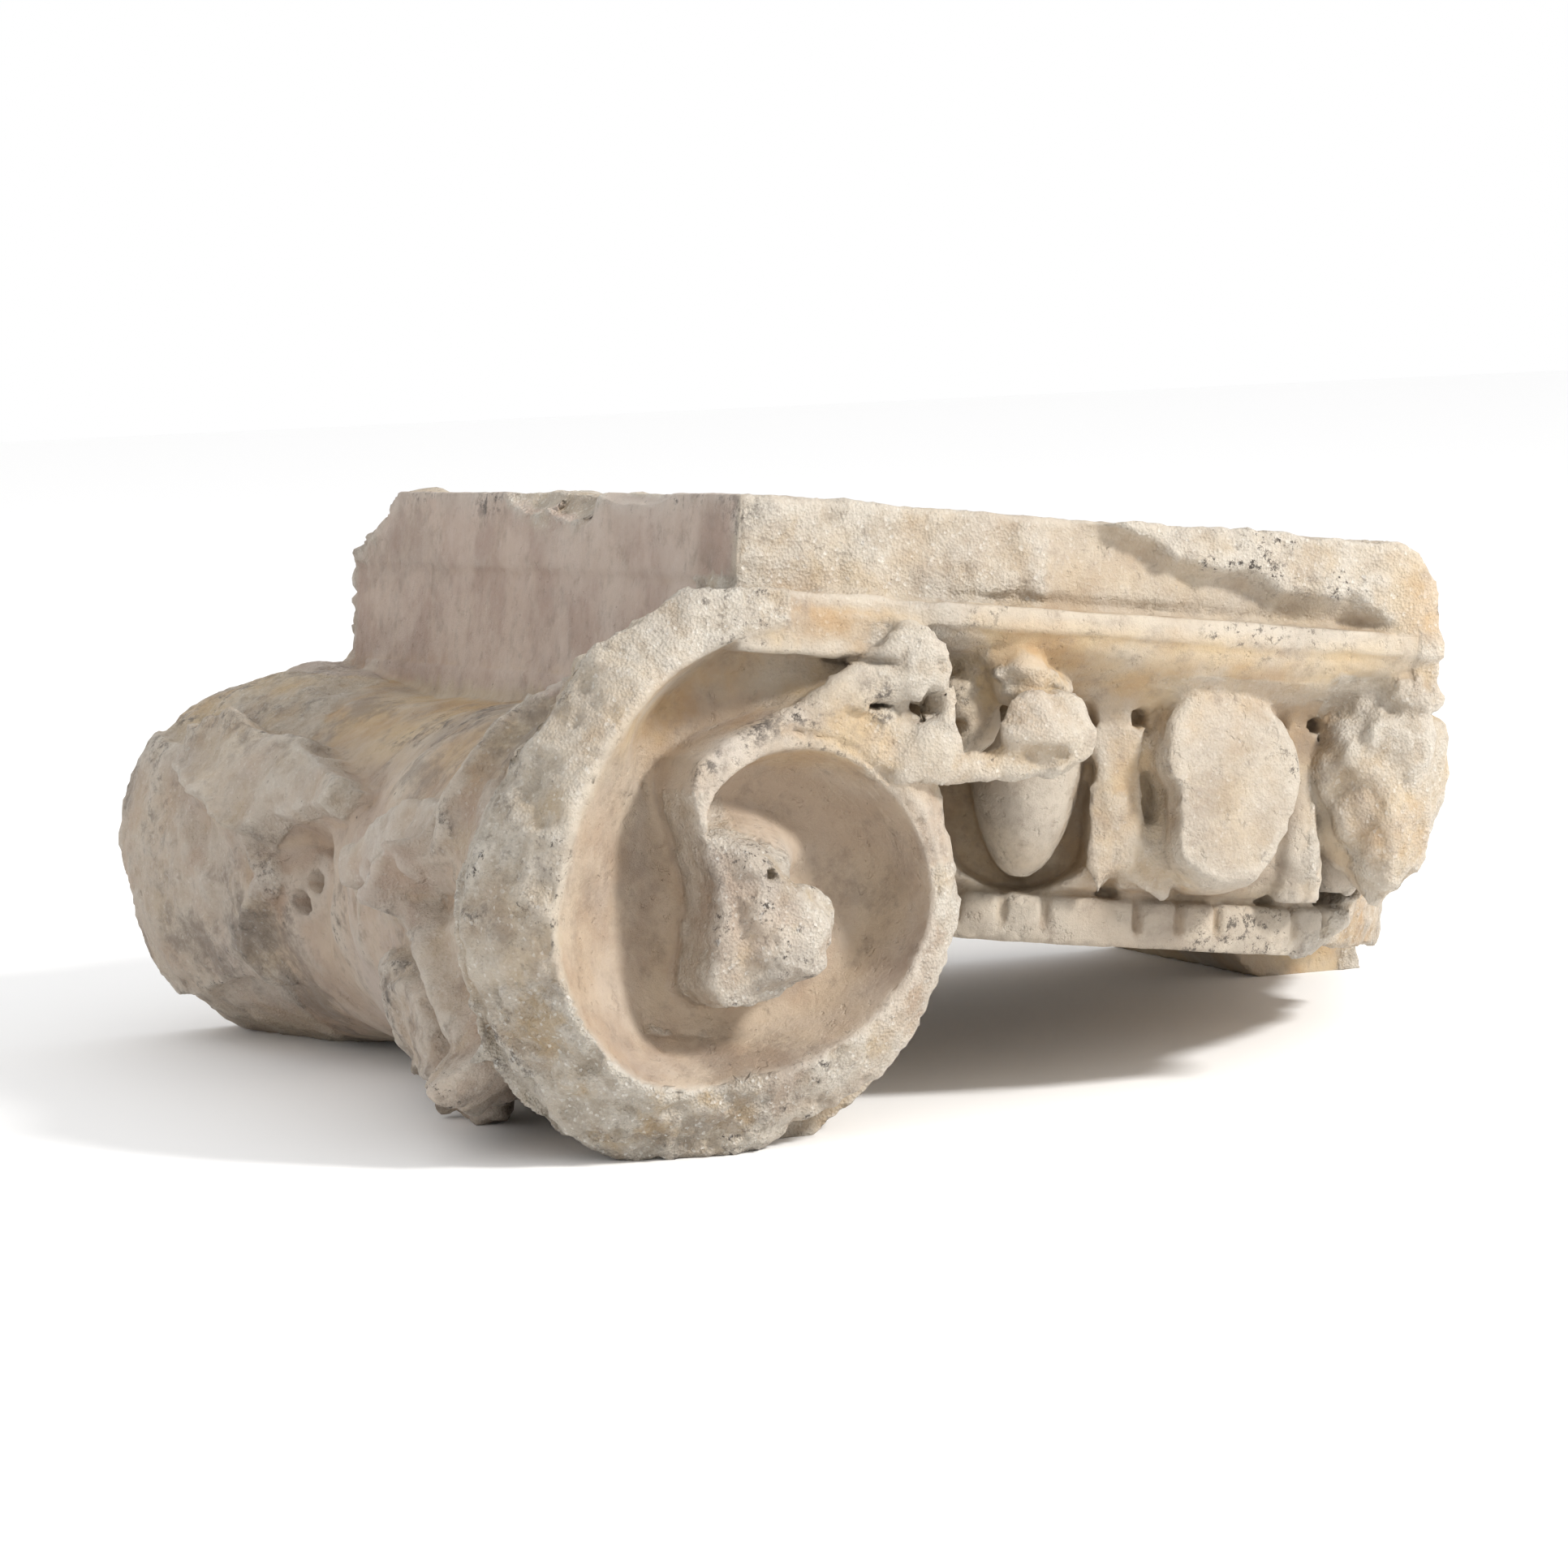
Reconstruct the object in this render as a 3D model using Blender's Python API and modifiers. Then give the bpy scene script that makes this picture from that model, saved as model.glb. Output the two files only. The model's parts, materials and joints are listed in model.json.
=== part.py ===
"""Broken ionic capital of white marble, in one block.

The capital is built level, with the column's axis at X = 0, Y = 0 and the bed
at Z = 0, and then leans on the three places where it touches the ground.
"""

import math

import bmesh
import bpy
import numpy as np
from mathutils import Matrix, Vector

# Traditional volute: its height is eight units, and each quarter turn comes half a unit closer to the eye
UNIT = 0.030
VOLUTE_TOP_RADIUS = 4.5 * UNIT
VOLUTE_TURN_LOSS = 2.0 * UNIT
ABACUS_SIDE = 16.0 * UNIT
FRONT = -ABACUS_SIDE / 2
LEFT = -ABACUS_SIDE / 2

# Heights above the bed
ASTRAGAL_HEIGHT = 0.0203
EGG_TIP = 0.027
EGG_TOP = 0.119
BAND_BOTTOM = 0.120
FILLET_BOTTOM = 0.132
FILLET_TOP = 0.1415
ABACUS_TOP = 0.180
SIDE_LINE = 0.144

# Depths of the block
REAR = 0.262
REAR_TOP = 0.240
BODY_FRONT = -0.186
BAND_FRONT = FRONT + 0.004
BODY_UNDER = 0.012

# Volute
EYE_X = -0.220
EYE_Z = SIDE_LINE - VOLUTE_TOP_RADIUS
RIM_FRONT = FRONT + 0.002
RIM_BACK = -0.196
CORE_FRONT = -0.244
CORE_BACK = -0.196
BOSS_RADIUS = 0.015
CLIFF_X = EYE_X - 0.042

# Bolster
BOLSTER_X = -0.232
BOLSTER_Z = 0.006
BOLSTER_SIDES = 44
STRAP_RADIUS = 0.104
WAIST_RADIUS = 0.080
REAR_RADIUS = 0.092

# Echinus and its ornament
ECHINUS_RADIUS = 0.213
ECHINUS_FOOT = 0.199
BED_RADIUS = 0.193
EGG_COUNT = 16
EGG_FIRST = -24.0
EGG_STEP = 360.0 / EGG_COUNT
EGG_HALF_WIDTH = 0.028
EGG_CENTRE_RADIUS = 0.203
EGG_DEPTH = 0.026
EGG_GAP = 0.006
EGG_WIDEST = 0.62
EGG_TAPER = 0.10
HOLLOW_OUT = 1.6 * EGG_GAP
SHEAR_FRONT = -0.2225
SHEAR_LEFT = -0.055
SHEAR_RIGHT = 0.040
SHEAR_UNDER = EGG_TIP - 0.004
BEAD_FIRST = EGG_FIRST + 9.0
BEAD_SHARE = 0.5
NOTCH_WIDTH = 0.0022
RING_START = 1.9
NOTCHES_FROM = -36.0
NOTCHES_TO = 26.0
NOTCH_DEPTH = 0.0045

# Drill holes of the carver
DRILL_RADIUS = 0.0042
DRILL_DEPTH = 0.016

# The three places it rests on, in the level frame
FRONT_FOOT = Vector((-0.242, -0.222, -0.0945))
REAR_FOOT = Vector((-0.250, 0.215, -0.0800))
SIDE_FOOT = Vector((0.235, 0.228, -0.0220))
FOOT_SINK = 0.0015
GROUND_REACH = 1.0

# Stump of the lost bolster at the rear right
STUMP_X = 0.232
STUMP_FRONT = 0.120
STUMP_RADIUS = 0.062

SEGMENTS = 64
CUTTER_REACH = 0.6
CLEAR = 0.020
JOINT_STEP = 0.002
BLOCK_RIGHT = 0.330
BODY_RECESS = -0.120
PALMETTE_X = -0.150
SHOULDER_RIGHT = -0.142
FILLET_LEFT = -0.170
EGGS_LEFT = 3
BREAK_RIGHT = 0.010
BREAK_BITES = 12
COVE_RADIUS = 0.013

# Broken face at the right: depth, and how far right of the front it stands there
RIGHT_BREAK = (
    (-0.300, 0.000),
    (-0.200, 0.000),
    (-0.150, 0.030),
    (-0.080, 0.070),
    (0.000, 0.118),
    (0.080, 0.160),
    (0.150, 0.190),
    (0.220, 0.208),
    (0.320, 0.212),
)
BREAK_PLAIN = -0.19


def clear_scene():
    for item in list(bpy.data.objects):
        bpy.data.objects.remove(item, do_unlink=True)


def collection(name):
    made = bpy.data.collections.new(name)
    bpy.context.scene.collection.children.link(made)
    return made


def marble():
    material = bpy.data.materials.new("weathered_marble")
    material.use_nodes = True
    shader = material.node_tree.nodes["Principled BSDF"]
    shader.inputs["Base Color"].default_value = (0.62, 0.54, 0.45, 1.0)
    shader.inputs["Roughness"].default_value = 0.7
    return material


def link_mesh(name, mesh, home):
    item = bpy.data.objects.new(name, mesh)
    home.objects.link(item)
    return item


def from_bmesh(name, body, home):
    bmesh.ops.recalc_face_normals(body, faces=body.faces)
    mesh = bpy.data.meshes.new(name)
    body.to_mesh(mesh)
    body.free()
    return link_mesh(name, mesh, home)


def box(name, low, high, home):
    body = bmesh.new()
    bmesh.ops.create_cube(body, size=1.0)
    low = Vector(low)
    high = Vector(high)
    for vertex in body.verts:
        for axis in range(3):
            vertex.co[axis] = low[axis] if vertex.co[axis] < 0 else high[axis]
    return from_bmesh(name, body, home)


def ball(name, centre, radii, home, turn=0.0, about="Z", segments=16, rings=10):
    body = bmesh.new()
    bmesh.ops.create_uvsphere(body, u_segments=segments, v_segments=rings, radius=1.0)
    place = Matrix.Translation(Vector(centre)) @ Matrix.Rotation(math.radians(turn), 4, about)
    bmesh.ops.transform(body, matrix=place @ Matrix.Diagonal((*radii, 1.0)), verts=body.verts)
    return from_bmesh(name, body, home)


def rod(name, start, end, radius, home, sides=10, end_radius=None):
    start = Vector(start)
    end = Vector(end)
    body = bmesh.new()
    length = (end - start).length
    last = radius if end_radius is None else end_radius
    bmesh.ops.create_cone(
        body, cap_ends=True, segments=sides, radius1=radius, radius2=last, depth=length
    )
    turn = (end - start).to_track_quat("Z", "Y").to_matrix().to_4x4()
    place = Matrix.Translation((start + end) / 2) @ turn
    bmesh.ops.transform(body, matrix=place, verts=body.verts)
    return from_bmesh(name, body, home)


def loft(name, rings, home):
    """Closed body through rings of as many points each."""
    body = bmesh.new()
    rows = [[body.verts.new(point) for point in ring] for ring in rings]
    count = len(rows[0])
    for row, following in zip(rows, rows[1:]):
        for k in range(count):
            nxt = (k + 1) % count
            body.faces.new((row[k], row[nxt], following[nxt], following[k]))
    body.faces.new(rows[0])
    body.faces.new(rows[-1])
    bmesh.ops.triangulate(body, faces=body.faces)
    return from_bmesh(name, body, home)


def plate(name, outline, first, last, home, axis="Y"):
    """Flat outline filled and drawn out from first to last along the axis."""
    curve = bpy.data.curves.new(name, "CURVE")
    curve.dimensions = "2D"
    curve.fill_mode = "BOTH"
    curve.extrude = abs(last - first) / 2
    spline = curve.splines.new("POLY")
    spline.points.add(len(outline) - 1)
    for point, (across, up) in zip(spline.points, outline):
        point.co = (across, up, 0.0, 1.0)
    spline.use_cyclic_u = True
    drawn = bpy.data.objects.new(name, curve)
    home.objects.link(drawn)
    bpy.context.view_layer.update()
    seen = drawn.evaluated_get(bpy.context.evaluated_depsgraph_get())
    mesh = bpy.data.meshes.new_from_object(seen)
    bpy.data.objects.remove(drawn, do_unlink=True)
    body = bmesh.new()
    body.from_mesh(mesh)
    bpy.data.meshes.remove(mesh)
    bmesh.ops.remove_doubles(body, verts=body.verts, dist=1e-6)
    middle = (first + last) / 2
    if axis == "Y":
        place = Matrix.Translation((0.0, middle, 0.0)) @ Matrix.Rotation(math.pi / 2, 4, "X")
    elif axis == "X":
        place = Matrix.Translation((middle, 0.0, 0.0)) @ Matrix(
            ((0, 0, 1, 0), (1, 0, 0, 0), (0, 1, 0, 0), (0, 0, 0, 1))
        )
    else:
        place = Matrix.Translation((0.0, 0.0, middle))
    bmesh.ops.transform(body, matrix=place, verts=body.verts)
    return from_bmesh(name, body, home)


def turned(name, profile, home, ring=False, start=0.0):
    """Profile of (radius, height) turned about the column's axis; a ring's profile closes on itself."""
    mesh = bpy.data.meshes.new(name)
    side = math.radians(start)
    points = [(radius * math.cos(side), radius * math.sin(side), height) for radius, height in profile]
    edges = [(k, k + 1) for k in range(len(points) - 1)]
    if ring:
        edges.append((len(points) - 1, 0))
    mesh.from_pydata(points, edges, [])
    item = link_mesh(name, mesh, home)
    screw = item.modifiers.new("turn", "SCREW")
    screw.axis = "Z"
    screw.angle = 2 * math.pi
    screw.steps = SEGMENTS
    screw.render_steps = SEGMENTS
    screw.use_merge_vertices = True
    screw.merge_threshold = 0.0001
    screw.use_normal_calculate = True
    return item


def combine(target, other, operation, cutters):
    """United with or cut by another body, which stays as a guide."""
    step = target.modifiers.new(other.name, "BOOLEAN")
    step.operation = operation
    step.solver = "EXACT"
    step.object = other
    other.hide_render = True
    other.display_type = "WIRE"
    if other.name not in cutters.objects:
        cutters.objects.link(other)


def spiral_radius(turn):
    return VOLUTE_TOP_RADIUS - VOLUTE_TURN_LOSS * turn


def round_eye(turn, radius, depth):
    """Point at so many turns from the top of the volute, going left, at this radius and depth."""
    angle = 2 * math.pi * turn
    return (EYE_X - radius * math.sin(angle), depth, EYE_Z + radius * math.cos(angle))


def volute_drum(home):
    """Volute from its outline at the back to the broken rim in front."""
    turns = [k / SEGMENTS for k in range(SEGMENTS)]
    closing = 0.84
    rim_turn = (0.0, 0.12, 0.25, 0.35, 0.44, 0.50, 0.60, 0.72, 0.84, 1.0)
    rim_part = (0.95, 0.94, 0.87, 0.92, 0.82, 0.74, 0.72, 0.82, 0.92, 0.95)

    def outline(turn):
        if turn < closing:
            return spiral_radius(turn)
        share = (turn - closing) / (1.0 - closing)
        return spiral_radius(closing) * (1 - share) + VOLUTE_TOP_RADIUS * share

    back = [round_eye(t, outline(t) * 0.90, RIM_BACK + 0.030) for t in turns]
    widest = [round_eye(t, outline(t), RIM_BACK) for t in turns]
    middle = [
        round_eye(t, outline(t) * (1 + np.interp(t, rim_turn, rim_part)) / 2 + 0.004, RIM_BACK - 0.024)
        for t in turns
    ]
    front = [round_eye(t, outline(t) * np.interp(t, rim_turn, rim_part), RIM_FRONT) for t in turns]
    return loft("volute", [back, widest, middle, front], home)


# Channel of the volute at so many turns: outer radius, inner radius, depth
CHANNEL = (
    (-0.068, 0.1320, 0.1290, 0.004),
    (-0.040, 0.1245, 0.0985, 0.014),
    (0.000, 0.1195, 0.0820, 0.026),
    (0.050, 0.1120, 0.0745, 0.034),
    (0.110, 0.1070, 0.0660, 0.038),
    (0.170, 0.1050, 0.0490, 0.040),
    (0.220, 0.0990, 0.0420, 0.040),
    (0.320, 0.0940, 0.0430, 0.040),
    (0.380, 0.0880, 0.0500, 0.037),
    (0.440, 0.0760, 0.0430, 0.033),
    (0.500, 0.0640, 0.0340, 0.030),
    (0.600, 0.0610, 0.0300, 0.030),
    (0.700, 0.0660, 0.0300, 0.032),
    (0.800, 0.0745, 0.0280, 0.034),
    (0.880, 0.0740, 0.0180, 0.034),
    (0.960, 0.0705, 0.0180, 0.034),
    (1.030, 0.0640, 0.0220, 0.028),
    (1.090, 0.0535, 0.0350, 0.014),
)
CHANNEL_STEPS = 44
CHANNEL_LEAD = 0.003
CHANNEL_POINTS = 9


def channel_cutter(home):
    """Hollow section carried along the spiral."""
    table = np.array(CHANNEL)
    rings = []
    for turn in np.linspace(table[0, 0], table[-1, 0], CHANNEL_STEPS):
        outer, inner, depth = (np.interp(turn, table[:, 0], table[:, k]) for k in (1, 2, 3))
        ring = [
            round_eye(turn, inner, FRONT - 0.03),
            round_eye(turn, outer, FRONT - 0.03),
        ]
        for k in range(CHANNEL_POINTS):
            share = k / (CHANNEL_POINTS - 1)
            fall = math.sin(math.pi * share ** 0.8) ** 0.7 if 0 < k < CHANNEL_POINTS - 1 else 0.0
            radius = outer + (inner - outer) * share
            ring.append(round_eye(turn, radius, RIM_FRONT - CHANNEL_LEAD + (depth + CHANNEL_LEAD) * fall))
        rings.append(ring)
    return loft("channel_cut", rings, home)


def volute_core(home):
    """Broken lump that stands out of the channel, with the stump of the eye."""
    outline = (
        (CLIFF_X, EYE_Z + 0.052),
        (CLIFF_X - 0.001, EYE_Z + 0.036),
        (CLIFF_X + 0.001, EYE_Z - 0.004),
        (CLIFF_X + 0.005, EYE_Z - 0.036),
        (CLIFF_X + 0.019, EYE_Z - 0.040),
        (EYE_X - 0.005, EYE_Z - 0.037),
        (EYE_X + 0.019, EYE_Z - 0.024),
        (EYE_X + 0.027, EYE_Z - 0.006),
        (EYE_X + 0.020, EYE_Z + 0.006),
        (EYE_X + 0.008, EYE_Z + 0.012),
        (EYE_X - 0.011, EYE_Z + 0.026),
        (EYE_X - 0.027, EYE_Z + 0.029),
        (EYE_X - 0.034, EYE_Z + 0.048),
    )
    return plate("volute_core", outline, CORE_FRONT, CORE_BACK, home)


def eye_stump(home):
    centre = (EYE_X + 0.003, CORE_FRONT + 0.002, EYE_Z - 0.006)
    return ball("eye_stump", centre, (BOSS_RADIUS, 0.010, BOSS_RADIUS), home, segments=14, rings=8)


def bolster(home):
    """Left bolster, waisted between the two volutes, with the strap's ridge behind the front one."""
    places = (RIM_BACK + 0.004, -0.172, -0.150, -0.126, -0.060, 0.020, 0.100, 0.170, 0.215, REAR)
    radii = (
        STRAP_RADIUS + 0.012,
        STRAP_RADIUS - 0.006,
        STRAP_RADIUS,
        STRAP_RADIUS - 0.010,
        WAIST_RADIUS + 0.006,
        WAIST_RADIUS + 0.001,
        WAIST_RADIUS,
        WAIST_RADIUS + 0.004,
        REAR_RADIUS,
        REAR_RADIUS - 0.004,
    )
    rings = []
    for depth, radius in zip(places, radii):
        ring = []
        for k in range(BOLSTER_SIDES):
            angle = 2 * math.pi * k / BOLSTER_SIDES
            x = BOLSTER_X + radius * math.cos(angle)
            z = BOLSTER_Z + radius * math.sin(angle)
            ring.append((x, depth, z))
        rings.append(ring)
    return loft("bolster", rings, home)


# Leaf lumps on the bolster: depth, angle about its axis, half length, half width, rise over the waist
LEAF_LUMPS = (
    ("rear_leaf", 0.125, 152.0, 0.075, 0.030, 0.014),
    ("rear_leaf_side", 0.140, 186.0, 0.060, 0.042, 0.010),
    ("front_leaf_tip", -0.060, 168.0, 0.042, 0.020, 0.019),
    ("front_leaf_rib", -0.105, 184.0, 0.030, 0.034, 0.014),
    ("front_leaf_low", -0.118, 208.0, 0.036, 0.024, 0.015),
    ("low_leaf", -0.078, 222.0, 0.040, 0.018, 0.017),
    ("low_leaf_tip", -0.045, 246.0, 0.022, 0.018, 0.023),
    ("low_leaf_back", 0.010, 226.0, 0.034, 0.018, 0.008),
)


def leaf_lump(name, depth, angle, half_length, half_width, rise, home):
    turn = math.radians(angle)
    seat = WAIST_RADIUS - 0.006
    centre = (BOLSTER_X + seat * math.cos(turn), depth, BOLSTER_Z + seat * math.sin(turn))
    radii = (rise + 0.006, half_length, half_width)
    return ball(name, centre, radii, home, turn=-angle, about="Y", segments=14, rings=8)


def echinus(home):
    """Body of revolution under the band, with the bed below it."""
    profile = (
        (0.0, BAND_BOTTOM + 0.008),
        (ECHINUS_RADIUS + 0.010, BAND_BOTTOM + 0.008),
        (ECHINUS_RADIUS + 0.006, BAND_BOTTOM - 0.004),
        (ECHINUS_RADIUS + 0.001, 0.090),
        (ECHINUS_RADIUS - 0.001, 0.060),
        (ECHINUS_RADIUS - 0.005, 0.036),
        (ECHINUS_FOOT, ASTRAGAL_HEIGHT + 0.003),
        (BED_RADIUS, ASTRAGAL_HEIGHT),
        (BED_RADIUS, 0.0),
        (0.0, 0.0),
    )
    return turned("echinus", profile, home)


def astragal(home):
    """Half-round ring of the bead-and-reel, with the notches cut by a loop."""
    half = ASTRAGAL_HEIGHT / 2
    ring_radius = BED_RADIUS - 0.0013
    profile = [(ring_radius - 0.010, ASTRAGAL_HEIGHT - 0.0010)]
    for k in range(7):
        angle = math.pi / 2 - math.pi * k / 6
        profile.append((ring_radius + half * math.cos(angle), half + (half - 0.0012) * math.sin(angle)))
    profile.append((ring_radius - 0.010, 0.0012))
    return turned("astragal", profile, home, ring=True, start=RING_START)


def on_ring(radius, degrees, height):
    """Point on a ring about the column's axis, turned from the front toward the right."""
    angle = math.radians(degrees)
    return (radius * math.sin(angle), -radius * math.cos(angle), height)


def bead_notches(home):
    """Three narrow cuts a step: both ends of the bead, and between the two reels."""
    found = []
    for step in range(-1, 3):
        start = BEAD_FIRST + step * EGG_STEP
        for number, share in enumerate((-BEAD_SHARE / 2, BEAD_SHARE / 2, 0.75 - BEAD_SHARE / 2)):
            degrees = start + share * EGG_STEP
            if not NOTCHES_FROM < degrees < NOTCHES_TO:
                continue
            name = f"notch_{step + 1}_{number}"
            made = box(
                name,
                (-NOTCH_WIDTH / 2, -BED_RADIUS - 0.03, -0.002),
                (NOTCH_WIDTH / 2, -BED_RADIUS - ASTRAGAL_HEIGHT / 2 + NOTCH_DEPTH, ASTRAGAL_HEIGHT + 0.0004),
                home,
            )
            made.data.transform(Matrix.Rotation(math.radians(degrees), 4, "Z"))
            found.append(made)
    return found


def egg(step, home, grow=0.0):
    """Egg at a step round the echinus; the hollow about it is the same form, grown."""
    degrees = EGG_FIRST + step * EGG_STEP
    middle = EGG_TIP + EGG_WIDEST * (EGG_TOP - EGG_TIP)
    out = HOLLOW_OUT if grow else 0.0
    centre = on_ring(EGG_CENTRE_RADIUS + out, degrees, middle)
    body = bmesh.new()
    bmesh.ops.create_uvsphere(body, u_segments=18, v_segments=12, radius=1.0)
    for vertex in body.verts:
        low = vertex.co.z < 0
        drop = (middle - EGG_TIP + grow) if low else (EGG_TOP - middle + grow)
        waist = 1.0 - EGG_TAPER * min(0.0, vertex.co.z) ** 2
        vertex.co.x *= (EGG_HALF_WIDTH + grow) * waist
        vertex.co.y *= (EGG_DEPTH + grow * 0.5) * waist
        vertex.co.z *= drop
    place = Matrix.Translation(centre) @ Matrix.Rotation(math.radians(degrees), 4, "Z")
    bmesh.ops.transform(body, matrix=place, verts=body.verts)
    return from_bmesh(f"egg_{step}" if grow == 0.0 else f"egg_hollow_{step}", body, home)


def dart_notch(step, home):
    """Dark gap between the two prongs at the foot of a dart."""
    degrees = EGG_FIRST + (step + 0.5) * EGG_STEP
    x, y, z = on_ring(ECHINUS_RADIUS + 0.004, degrees, EGG_TIP - 0.002)
    made = rod(f"dart_gap_{step}", (x, y, z - 0.008), (x, y, z + 0.012), 0.009, home, sides=6, end_radius=0.001)
    return made


def palmette(home):
    """Two broken lobes that spring from the corner of the volute."""
    found = []
    for name, start, end, radius, end_radius in (
        ("lobe_top", (-0.196, -0.226, 0.098), (-0.150, -0.232, 0.116), 0.012, 0.017),
        ("lobe_middle", (-0.178, -0.224, 0.086), (-0.142, -0.230, 0.093), 0.009, 0.012),
        ("lobe_low", (-0.166, -0.222, 0.072), (-0.088, -0.236, 0.090), 0.013, 0.016),
    ):
        found.append(rod(name, start, end, radius, home, sides=10, end_radius=end_radius))
    return found


def abacus_block(home):
    return box("abacus", (LEFT, FRONT, FILLET_TOP - 0.001), (BLOCK_RIGHT + 0.002, REAR, ABACUS_TOP), home)


def canalis(home):
    """Ground between the top of the volute and the palmette."""
    low = (EYE_X + 0.003, RIM_FRONT + 0.0007, EYE_Z + 0.071)
    return box("canalis", low, (PALMETTE_X, BODY_FRONT, FILLET_TOP - 0.0013), home)


def shoulder(home):
    """Side of the block between the bolster and the volute, under the abacus."""
    low = (LEFT, RIM_BACK - 0.010, EYE_Z + 0.05)
    return box("shoulder", low, (SHOULDER_RIGHT, BODY_RECESS + 0.01, ABACUS_TOP - 0.012), home)


def abacus_front_break(home):
    """Broken front of the abacus, left of the moulding that is left of it."""
    reach = FRONT - 0.02
    outline = [(LEFT - 0.02, reach), (LEFT - 0.02, FRONT + 0.016)]
    for k in range(BREAK_BITES + 1):
        share = k / BREAK_BITES
        x = LEFT + (BREAK_RIGHT - LEFT) * share
        bite = 0.011 - 0.009 * share ** 3 + 0.0025 * math.sin(9.0 * share)
        outline.append((x, FRONT + bite))
    outline.append((BREAK_RIGHT + 0.01, reach))
    return plate("abacus_front_break", outline, FILLET_TOP + 0.0008, ABACUS_TOP + 0.02, home, axis="Z")


def abacus_cove(home):
    """Hollow moulding above the fillet, at the right of the front."""
    height = FILLET_TOP + COVE_RADIUS
    return rod(
        "abacus_cove",
        (BREAK_RIGHT - 0.07, FRONT - 0.002, height + 0.006),
        (BLOCK_RIGHT, FRONT - 0.002, height),
        COVE_RADIUS,
        home,
        sides=16,
    )


def rear_corner_break(home):
    """Slanting break of the rear top edge, seen from the side."""
    outline = (
        (REAR_TOP, ABACUS_TOP + 0.01),
        (REAR_TOP + 0.002, ABACUS_TOP - 0.006),
        (REAR_TOP + 0.016, ABACUS_TOP - 0.034),
        (REAR_TOP + 0.012, ABACUS_TOP - 0.052),
        (REAR + 0.001, ABACUS_TOP - 0.075),
        (REAR + 0.02, ABACUS_TOP - 0.075),
        (REAR + 0.02, ABACUS_TOP + 0.01),
    )
    return plate("rear_corner_break", outline, LEFT - 0.05, BLOCK_RIGHT, home, axis="X")


def side_chip(home):
    """Chip out of the top edge of the left side."""
    return ball("side_chip", (LEFT - 0.004, 0.030, ABACUS_TOP + 0.004), (0.028, 0.066, 0.016), home)


def right_break(home):
    """Broken face at the right, which runs back and outward from the front."""
    edge = (
        (0.050, -0.150),
        (0.060, -0.002),
        (0.070, 0.009),
        (0.081, 0.014),
        (0.0865, 0.031),
        (0.0885, 0.080),
        (0.0870, 0.136),
        (0.0835, 0.162),
        (0.0640, ABACUS_TOP + 0.0005),
        (0.0600, ABACUS_TOP + 0.03),
    )
    rings = []
    for depth, shift in RIGHT_BREAK:
        ring = []
        for k, (x, z) in enumerate(edge):
            rough = 0.004 * math.sin(2.1 * k + 31.0 * depth) if depth > BREAK_PLAIN else 0.0
            ring.append((x + shift + rough - (0.010 if depth > BREAK_PLAIN else 0.0), depth, z))
        ring.append((CUTTER_REACH, depth, ABACUS_TOP + 0.03))
        ring.append((CUTTER_REACH, depth, -0.150))
        rings.append(ring)
    return loft("right_break", rings, home)


def stump(home):
    """What is left of the bolster at the rear right."""
    start = (STUMP_X, STUMP_FRONT, BOLSTER_Z + 0.020)
    end = (STUMP_X, REAR, BOLSTER_Z + 0.020)
    return rod("stump", start, end, STUMP_RADIUS, home, sides=24)


def rear_volute(home):
    """Plain coil on the worn rear face."""
    return rod(
        "rear_eye",
        (BOLSTER_X, REAR - 0.004, BOLSTER_Z),
        (BOLSTER_X, REAR + 0.006, BOLSTER_Z),
        0.030,
        home,
        sides=20,
        end_radius=0.024,
    )


def drill_holes(home):
    """Holes that the carver drilled, each straight in from where it shows."""
    found = []
    for name, mouth, inward in (
        ("drill_leaf_rear", (BOLSTER_X - 0.088, 0.044, 0.0015), (1.0, 0.1, 0.0)),
        ("drill_leaf_low", (BOLSTER_X - 0.088, 0.059, -0.0100), (1.0, 0.1, 0.0)),
        ("drill_egg_two", (-0.045, -0.2225, 0.0960), (0.1, 1.0, 0.0)),
        ("drill_egg_three", (0.044, -0.2225, 0.0850), (0.1, 1.0, 0.0)),
        ("drill_lobe_top", (-0.152, -0.238, 0.1020), (0.0, 1.0, 0.0)),
        ("drill_lobe_low", (-0.128, -0.238, 0.0960), (0.0, 1.0, 0.0)),
    ):
        mouth = Vector(mouth)
        inward = Vector(inward).normalized()
        found.append(
            rod(name, mouth - inward * 0.02, mouth + inward * DRILL_DEPTH, DRILL_RADIUS, home, sides=10)
        )
    return found


def shear(home):
    """Flat break across the front of the second egg."""
    low = (SHEAR_LEFT, FRONT - CLEAR, SHEAR_UNDER)
    return box("egg_shear", low, (SHEAR_RIGHT, SHEAR_FRONT, BAND_BOTTOM), home)


def rest_turn():
    """Rotation that brings the plane through the three feet level."""
    across = SIDE_FOOT - FRONT_FOOT
    back = REAR_FOOT - FRONT_FOOT
    upward = across.cross(back).normalized()
    return upward.rotation_difference(Vector((0.0, 0.0, 1.0))).to_matrix()


def ground_cut(home):
    """Space under the ground, in the level frame, a little above the feet so that they end flat."""
    turn = rest_turn()
    height = (turn @ FRONT_FOOT).z + FOOT_SINK
    low = (-GROUND_REACH, -GROUND_REACH, height - CUTTER_REACH / 3)
    made = box("ground_cut", low, (GROUND_REACH, GROUND_REACH, height), home)
    made.data.transform(turn.inverted().to_4x4())
    return made


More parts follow.
